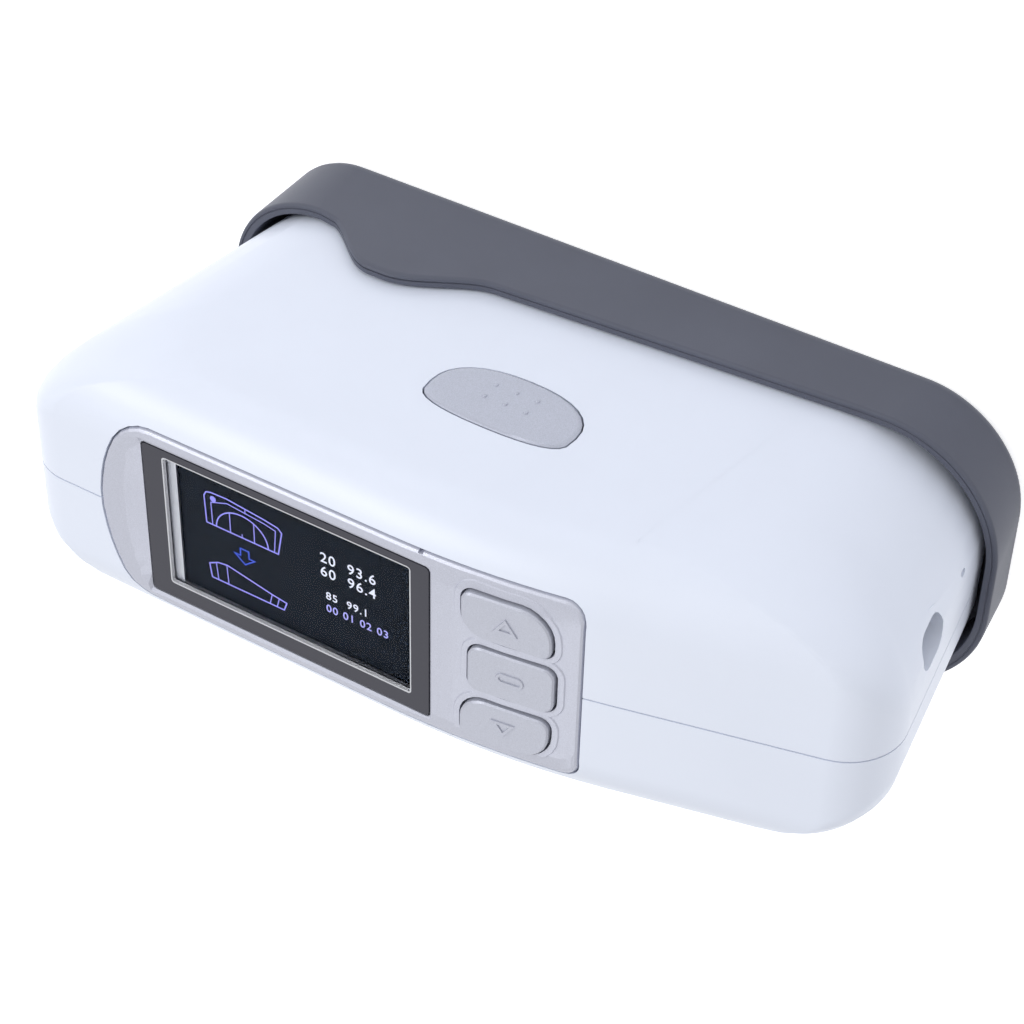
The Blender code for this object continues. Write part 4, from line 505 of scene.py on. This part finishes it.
def base_ring(offset, share):
    """Closed line round the base's wall, offset outwards from its inner face; share runs from 0 at the top
    of the foot's fillet to 1 at the rim."""
    half = HALF_THICKNESS + TRAY_SIDE_CLEARANCE + offset
    points = []
    for side_x, side_y, turn in ((1, -1, 0), (1, 1, 1), (-1, 1, 2), (-1, -1, 3)):
        top, clearance, foot_corner, rim_corner = TRAY_ENDS[side_x]
        radius = foot_corner + (rim_corner - foot_corner) * share + offset - TRAY_WALL
        z = TRAY_FOOT_FILLET + (top - TRAY_FOOT_FILLET) * share
        corner_x = end_x(side_x, z) + side_x * (clearance + offset - radius)
        for step in range(CORNER_STEPS + 1):
            angle = (turn - 1 + step / CORNER_STEPS) * math.pi / 2
            points.append((corner_x + radius * math.cos(angle),
                           side_y * (half - radius) + radius * math.sin(angle), z))
        if turn in (1, 3):
            points += base_run(half, share, 2 - turn)
    return points


def base_run(half, share, side):
    """The long side of the base between its corners, with the lobe; side +1 is the rear, -1 the front."""
    reach = [end_x(1, RIM_FAR_Z) - TRAY_FAR_CORNER, end_x(-1, RIM_PORT_Z) + TRAY_PORT_CORNER]
    start, end = reach if side > 0 else reversed(reach)
    points = []
    for step in range(1, SIDE_STATIONS):
        x = start + (end - start) * step / SIDE_STATIONS
        points.append((x, side * half, TRAY_FOOT_FILLET + (rim_height(x) - TRAY_FOOT_FILLET) * share))
    return points


def add_loft(mesh, rings, capped=True):
    """Walls through rings of equal count, with a flat cap at each end or from the last ring to the first."""
    rows = [[mesh.verts.new(point) for point in ring] for ring in rings]
    for low, high in zip(rows, rows[1:] if capped else rows[1:] + rows[:1]):
        for index, vertex in enumerate(low):
            follow = (index + 1) % len(low)
            mesh.faces.new((vertex, low[follow], high[follow], high[index]))
    if capped:
        mesh.faces.new(rows[0])
        mesh.faces.new(rows[-1])


def finished(name, mesh):
    """Named mesh data, with its faces turned outwards."""
    bmesh.ops.recalc_face_normals(mesh, faces=mesh.faces)
    data = bpy.data.meshes.new(name)
    mesh.to_mesh(data)
    mesh.free()
    return data


def loft(name, rings, capped=True):
    """Closed mesh through rings of equal count."""
    mesh = bmesh.new()
    add_loft(mesh, rings, capped)
    return finished(name, mesh)


def baked(item):
    """The mesh that an object shows, modifiers and place included; the object itself goes."""
    bpy.context.view_layer.update()
    mesh = bpy.data.meshes.new_from_object(item.evaluated_get(bpy.context.evaluated_depsgraph_get()))
    mesh.transform(item.matrix_world)
    mesh.materials.clear()
    bpy.data.objects.remove(item)
    return mesh


def box_corners(low, high):
    """The corners of a box in plan, anticlockwise from the lower left."""
    return (low.x, low.y), (high.x, low.y), (high.x, high.y), (low.x, high.y)


def moved_out(low, high, gap):
    """The lower and upper corner of a box, with its sides in plan moved out by a gap."""
    step = Vector((gap, gap, 0.0))
    return low - step, high + step


def base_moulding():
    """The base with its curves in finer steps and a fine groove along its rim; it stands for the CAD node."""
    rings = []
    for step in range(FOOT_STEPS + 1):
        angle = step / FOOT_STEPS * math.pi / 2
        inset = TRAY_FOOT_FILLET * (1 - math.sin(angle))
        height = TRAY_FOOT_FILLET * (1 - math.cos(angle))
        rings.append([(x, y, height) for x, y, _ in base_ring(TRAY_WALL - inset, 0.0)])
    rise = RIM_PORT_Z - TRAY_FOOT_FILLET
    rings += [base_ring(TRAY_WALL, share) for share in WALL_SHARES]
    for inset, drop in RIM_SECTION:
        rings.append(base_ring(TRAY_WALL - inset * MM, 1 - drop * MM / rise))
    rings += [base_ring(0.0, share) for share in reversed(WALL_SHARES)]
    rings.append([(x, y, TRAY_FLOOR) for x, y, _ in base_ring(0.0, 0.0)])
    body = bpy.data.objects.new("base_moulding", loft("base_moulding", rings))
    outline = box_corners(*moved_out(*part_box("calibration_tile"), POCKET_MARGIN))
    levels = [[(x, y, z) for x, y in outline] for z in (TRAY_FLOOR - POCKET_DEPTH, TRAY_FLOOR + POCKET_DEPTH)]
    cutter = bpy.data.objects.new("tile_pocket", loft("tile_pocket", levels))
    for item in (body, cutter):
        bpy.context.scene.collection.objects.link(item)
    cut = body.modifiers.new("Tile pocket", "BOOLEAN")
    cut.solver = "EXACT"
    cut.object = cutter
    piece = add_mesh("base_moulding", baked(body), TABLE["tray"], "base")
    bpy.data.objects.remove(cutter)
    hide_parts("base_tray")
    return piece


def smooth_moulded_nodes():
    """Shades the moulded pieces smooth; the bezel keeps the low crease of its dish by a smaller limit."""
    moulded_tree = smoothing_nodes("smooth_moulded", SMOOTH_ANGLE)
    for item in (*[NODES[name] for name in MOULDED_NODES], base_moulding()):
        smooth_node(item, moulded_tree)
    smooth_node(NODES["display_bezel"], smoothing_nodes("smooth_bezel", DISH_ANGLE))


def add_mesh(name, mesh, look, body):
    """New piece with its look, which rides on a body."""
    item = bpy.data.objects.new(name, mesh)
    bpy.context.scene.collection.objects.link(item)
    item.data.materials.append(look.material)
    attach(item, body)
    return item


def screen_place(x, y):
    """World X and Y of a point of the screen; x and y in millimetres, as the reader sees them."""
    return SCREEN_CENTRE.x - x * MM, SCREEN_CENTRE.y - y * MM


def ribbon(points, width, closed):
    """Corner points of a line of even width, on its left and right."""
    count = len(points)
    left = []
    right = []
    for index, point in enumerate(points):
        before = points[index - 1] if closed or index else None
        after = points[(index + 1) % count] if closed or index < count - 1 else None
        normals = []
        for start, end in ((before, point), (point, after)):
            if start is not None and end is not None:
                run = Vector((end[0] - start[0], end[1] - start[1])).normalized()
                normals.append(Vector((-run.y, run.x)))
        mitre = sum(normals, Vector((0.0, 0.0))).normalized()
        reach = width / 2 / max(mitre.dot(normals[0]), MITRE_LIMIT)
        left.append((point[0] + mitre.x * reach, point[1] + mitre.y * reach))
        right.append((point[0] - mitre.x * reach, point[1] - mitre.y * reach))
    return left, right


def draw(name, lines, shapes, base_z, look):
    """Thin raised drawing on the screen: lines are (points, width, closed), shapes are filled outlines."""
    outlines = []
    for points, width, closed in lines:
        left, right = ribbon(points, width, closed)
        spans = len(points) if closed else len(points) - 1
        for index in range(spans):
            follow = (index + 1) % len(points)
            outlines.append([right[index], right[follow], left[follow], left[index]])
    mesh = bmesh.new()
    low = base_z + DRAWING_LIFT
    levels = (low, low + DRAWING_THICKNESS)
    for outline in outlines + shapes:
        add_loft(mesh, [[(*screen_place(x, y), z) for x, y in outline] for z in levels])
    return add_mesh(name, finished(name, mesh), look, "meter")


def curve_arc(x, y, radius_x, radius_y, start, end, count=ARC_STEPS):
    """Points of an arc from one angle to another, in degrees, both ends among them."""
    turn = (end - start) / count
    return [(x + radius_x * math.cos(math.radians(start + turn * i)),
             y + radius_y * math.sin(math.radians(start + turn * i))) for i in range(count + 1)]


def meter_icon(z, look):
    """Outline of the instrument with its optics arch, as a plain pictogram."""
    arch = curve_arc(METER_MIDDLE, METER_FOOT, *METER_ARCH, 180.0, 0.0)
    lines = [(METER_OUTLINE, LINE, True), (METER_INNER, FINE_LINE, False), (arch, LINE, False)]
    for x, start, end in METER_POSTS:
        lines.append((((x, start), (x, end)), FINE_LINE, False))
    x, y, radius = METER_DOT
    dot = curve_arc(x, y, radius, radius, 0.0, 360.0)[:-1]
    return draw("screen_icon_meter", lines, [dot], z, look)


def arrow_icon(z, look):
    """Arrow that points down to the base."""
    return draw("screen_icon_arrow", [(ARROW_OUTLINE, LINE, True)], [], z, look)


def base_icon(z, look):
    """Outline of the base, high at the left and low at the right."""
    lines = [(BASE_OUTLINE, LINE, True)] + [(post, FINE_LINE, False) for post in BASE_POSTS]
    return draw("screen_icon_base", lines, [], z, look)


def number_line(name, text, x, y, size, z, look):
    """A row of plain numbers on the screen."""
    data = bpy.data.curves.new(name, "FONT")
    data.body = text
    data.size = size * MM
    data.extrude = DRAWING_THICKNESS / 2
    data.offset = DIGIT_WEIGHT
    data.space_character = DIGIT_SPACING
    item = bpy.data.objects.new(name, data)
    bpy.context.scene.collection.objects.link(item)
    place = Matrix.Translation((*screen_place(x, y), z + DRAWING_LIFT + DRAWING_THICKNESS / 2))
    item.matrix_world = place @ Matrix.Rotation(math.pi, 4, "Z")
    return add_mesh(name, baked(item), look, "meter")


def screen_drawings():
    """All that the lit screen shows."""
    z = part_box("lcd_panel")[1].z
    blue = glow("screen_blue_lines", (0.30, 0.30, 0.95))
    arrow = glow("screen_arrow_blue", (0.03, 0.09, 0.72))
    digits = {"white": glow("screen_white_digits", (0.80, 0.84, 1.0)),
              "violet": glow("screen_violet_digits", (0.42, 0.42, 0.95))}
    meter_icon(z, blue)
    arrow_icon(z, arrow)
    base_icon(z, blue)
    for name, row, x, y, size, colour in NUMBER_ROWS:
        number_line(name, row, x, y, size, z, digits[colour])


def key_top(node):
    """Place of a key's top face: its middle, with X to the window, Y across and Z out."""
    out = -KEY_PRESS
    across = Vector((0.0, 1.0, 0.0))
    along = across.cross(out)
    points = [vertex.co for vertex in NODES[node].data.vertices]
    highest = max(point.dot(out) for point in points)
    top = [point for point in points if highest - point.dot(out) < JOIN_DISTANCE]
    low = [min(point.dot(way) for point in top) for way in (along, across)]
    high = [max(point.dot(way) for point in top) for way in (along, across)]
    middle = along * (low[0] + high[0]) / 2 + across * (low[1] + high[1]) / 2 + out * highest
    return Matrix.Translation(middle) @ Matrix((along, across, out)).transposed().to_4x4()


def raised_mark(name, node, outer, inner):
    """Low embossed frame with sloped sides on a key; outlines are in metres, X to the window."""
    place = key_top(node)
    centre = sum((Vector(point) for point in outer), Vector((0.0, 0.0))) / len(outer)

    def rings(outline, inwards):
        made = []
        for shrink, height in MARK_LEVELS:
            ring = []
            for point in outline:
                away = Vector(point) - centre
                spot = centre + away * (1 - inwards * shrink / away.length)
                ring.append(place @ Vector((spot.x, spot.y, height)))
            made.append(ring)
        return made

    sides = rings(outer, 1) + rings(inner, -1)[::-1]
    return add_mesh(name, loft(name, sides, capped=False), TABLE["key"], node)


def triangle(side, inset):
    """Triangle that points to one side, with its sides moved in; the tip is at side 1 or -1 in Y."""
    lean = math.hypot(MARK_WIDTH / 2, MARK_LENGTH)
    tip = inset * lean / (MARK_WIDTH / 2)
    half = MARK_WIDTH / 2 - inset * (lean + MARK_WIDTH / 2) / MARK_LENGTH
    foot = -side * (MARK_LENGTH / 2 - inset)
    return [(-half, foot), (half, foot), (0.0, side * (MARK_LENGTH / 2 - tip))]


def stadium(length, width):
    """Outline of a long ring with round ends."""
    reach = (length - width) / 2
    right = curve_arc(reach, 0.0, width / 2, width / 2, -90.0, 90.0, RING_END_STEPS)
    return right + curve_arc(-reach, 0.0, width / 2, width / 2, 90.0, 270.0, RING_END_STEPS)


def key_marks():
    """Plain symbols: a triangle on the outer keys, which points away from the middle, and a long ring."""
    for node, side in (("key_up", -1), ("key_down", 1)):
        raised_mark(node + "_mark", node, triangle(side, 0.0), triangle(side, MARK_STROKE))
    inner = stadium(RING_LENGTH - 2 * MARK_STROKE, RING_WIDTH - 2 * MARK_STROKE)
    raised_mark("key_enter_mark", "key_enter", stadium(RING_LENGTH, RING_WIDTH), inner)


def rounded_outline(low, high, radius):
    """Rounded rectangle between two corners, anticlockwise from the lower left."""
    outline = []
    for turn, (x, y) in enumerate(box_corners(low, high)):
        inner_x = x + (radius if x == low.x else -radius)
        inner_y = y + (radius if y == low.y else -radius)
        start = 180.0 + 90.0 * turn
        outline += curve_arc(inner_x, inner_y, radius, radius, start, start + 90.0, LINER_CORNER_STEPS)
    return outline


def window_liner():
    """Thin ring in the joint between the frame and the window, light grey as a painted highlight of the glass
    edge.
    """
    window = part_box("display_lens")
    foot, top = [corner.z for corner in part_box("window_frame")]
    outer = rounded_outline(*moved_out(*window, LINER_JOINT), LINER_OUTER_CORNER)
    inner = rounded_outline(*moved_out(*window, LINER_CLEARANCE), LINER_INNER_CORNER)
    section = ((outer, foot), (outer, top + LINER_RISE / 2), (inner, top), (inner, foot))
    mesh = loft("window_liner", [[(x, y, z) for x, y in outline] for outline, z in section], capped=False)
    return add_mesh("window_liner", mesh, TABLE["edge_highlight"], "meter")


def socket_tongue():
    """Plastic tongue of the charging socket, on a block that closes the mouth's end."""
    low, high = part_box("usb_socket")
    middle = (low.y + high.y) / 2
    wall = MOUTH_WALL + TONGUE_CLEARANCE
    end = low.x + MOUTH_DEPTH - TONGUE_CLEARANCE
    block = end - TONGUE_BLOCK
    tip = low.x + TONGUE_SETBACK
    wide = (high.y - low.y) / 2 - wall
    thin = TONGUE_THICKNESS / 2
    half = [(end, wide), (block, wide), (block, thin), (tip + TONGUE_EDGE, thin), (tip, thin - TONGUE_EDGE)]
    outline = half + [(x, -y) for x, y in reversed(half)]
    ends = [[(x, middle + y, z) for x, y in outline] for z in (low.z + wall, high.z - wall)]
    return add_mesh("socket_tongue", loft("socket_tongue", ends), TABLE["switch"], "meter")


def seen_strength(tree, hidden, seen):
    """Strength of a light that shows as white: one value for rays that see it and another for the rest."""
    rays = tree.nodes.new("ShaderNodeLightPath")
    total = rays.outputs["Is Camera Ray"]
    for kind in ("Is Glossy Ray", "Is Transmission Ray"):
        either = tree.nodes.new("ShaderNodeMath")
        either.operation = "MAXIMUM"
        tree.links.new(total, either.inputs[0])
        tree.links.new(rays.outputs[kind], either.inputs[1])
        total = either.outputs[0]
    level = tree.nodes.new("ShaderNodeMapRange")
    level.inputs["To Min"].default_value = hidden
    level.inputs["To Max"].default_value = seen
    tree.links.new(total, level.inputs["Value"])
    return level.outputs["Result"]


def stage():
    """Pale floor, soft lights and the world."""
    bpy.ops.mesh.primitive_plane_add(size=FLOOR_SIZE, location=(0.0, 0.0, -FLOOR_DROP))
    floor = bpy.context.object
    floor.name = "floor"
    look = Look("pale_floor", FLOOR_COLOUR, FLOOR_ROUGHNESS)
    look.vary_colour(look.noise(FLOOR_SCALE), *FLOOR_SHARES)
    bright = look.node("ShaderNodeEmission")
    bright.inputs["Color"].default_value = WHITE
    look.link(seen_strength(look.tree, 0.0, FLOOR_SEEN), bright.inputs["Strength"])
    both = look.node("ShaderNodeAddShader")
    look.link(look.shader.outputs[0], both.inputs[0])
    look.link(bright.outputs[0], both.inputs[1])
    look.link(both.outputs[0], look.tree.nodes["Material Output"].inputs["Surface"])
    floor.data.materials.append(look.material)
    world = bpy.data.worlds.new("soft_world")
    world.use_nodes = True
    background = world.node_tree.nodes["Background"]
    background.inputs["Color"].default_value = WHITE
    tree = world.node_tree
    tree.links.new(seen_strength(tree, WORLD_STRENGTH, WORLD_SEEN), background.inputs["Strength"])
    bpy.context.scene.world = world
    for lamp in LAMPS:
        area_light(*lamp)


def area_light(name, place, size, power):
    """Soft round lamp that faces the object."""
    data = bpy.data.lights.new(name, "AREA")
    data.shape = "DISK"
    data.size = size
    data.energy = power
    data.color = LAMP_COLOUR
    item = bpy.data.objects.new(name, data)
    bpy.context.scene.collection.objects.link(item)
    item.location = place
    aim = LAMP_AIM - Vector(place)
    item.rotation_mode = "QUATERNION"
    item.rotation_quaternion = aim.to_track_quat("-Z", "Y")


camera()
TABLE = looks()
dress_nodes(TABLE)
smooth_moulded_nodes()
screen_drawings()
key_marks()
window_liner()
socket_tongue()
stage()
bpy.context.scene.view_settings.view_transform = "Standard"
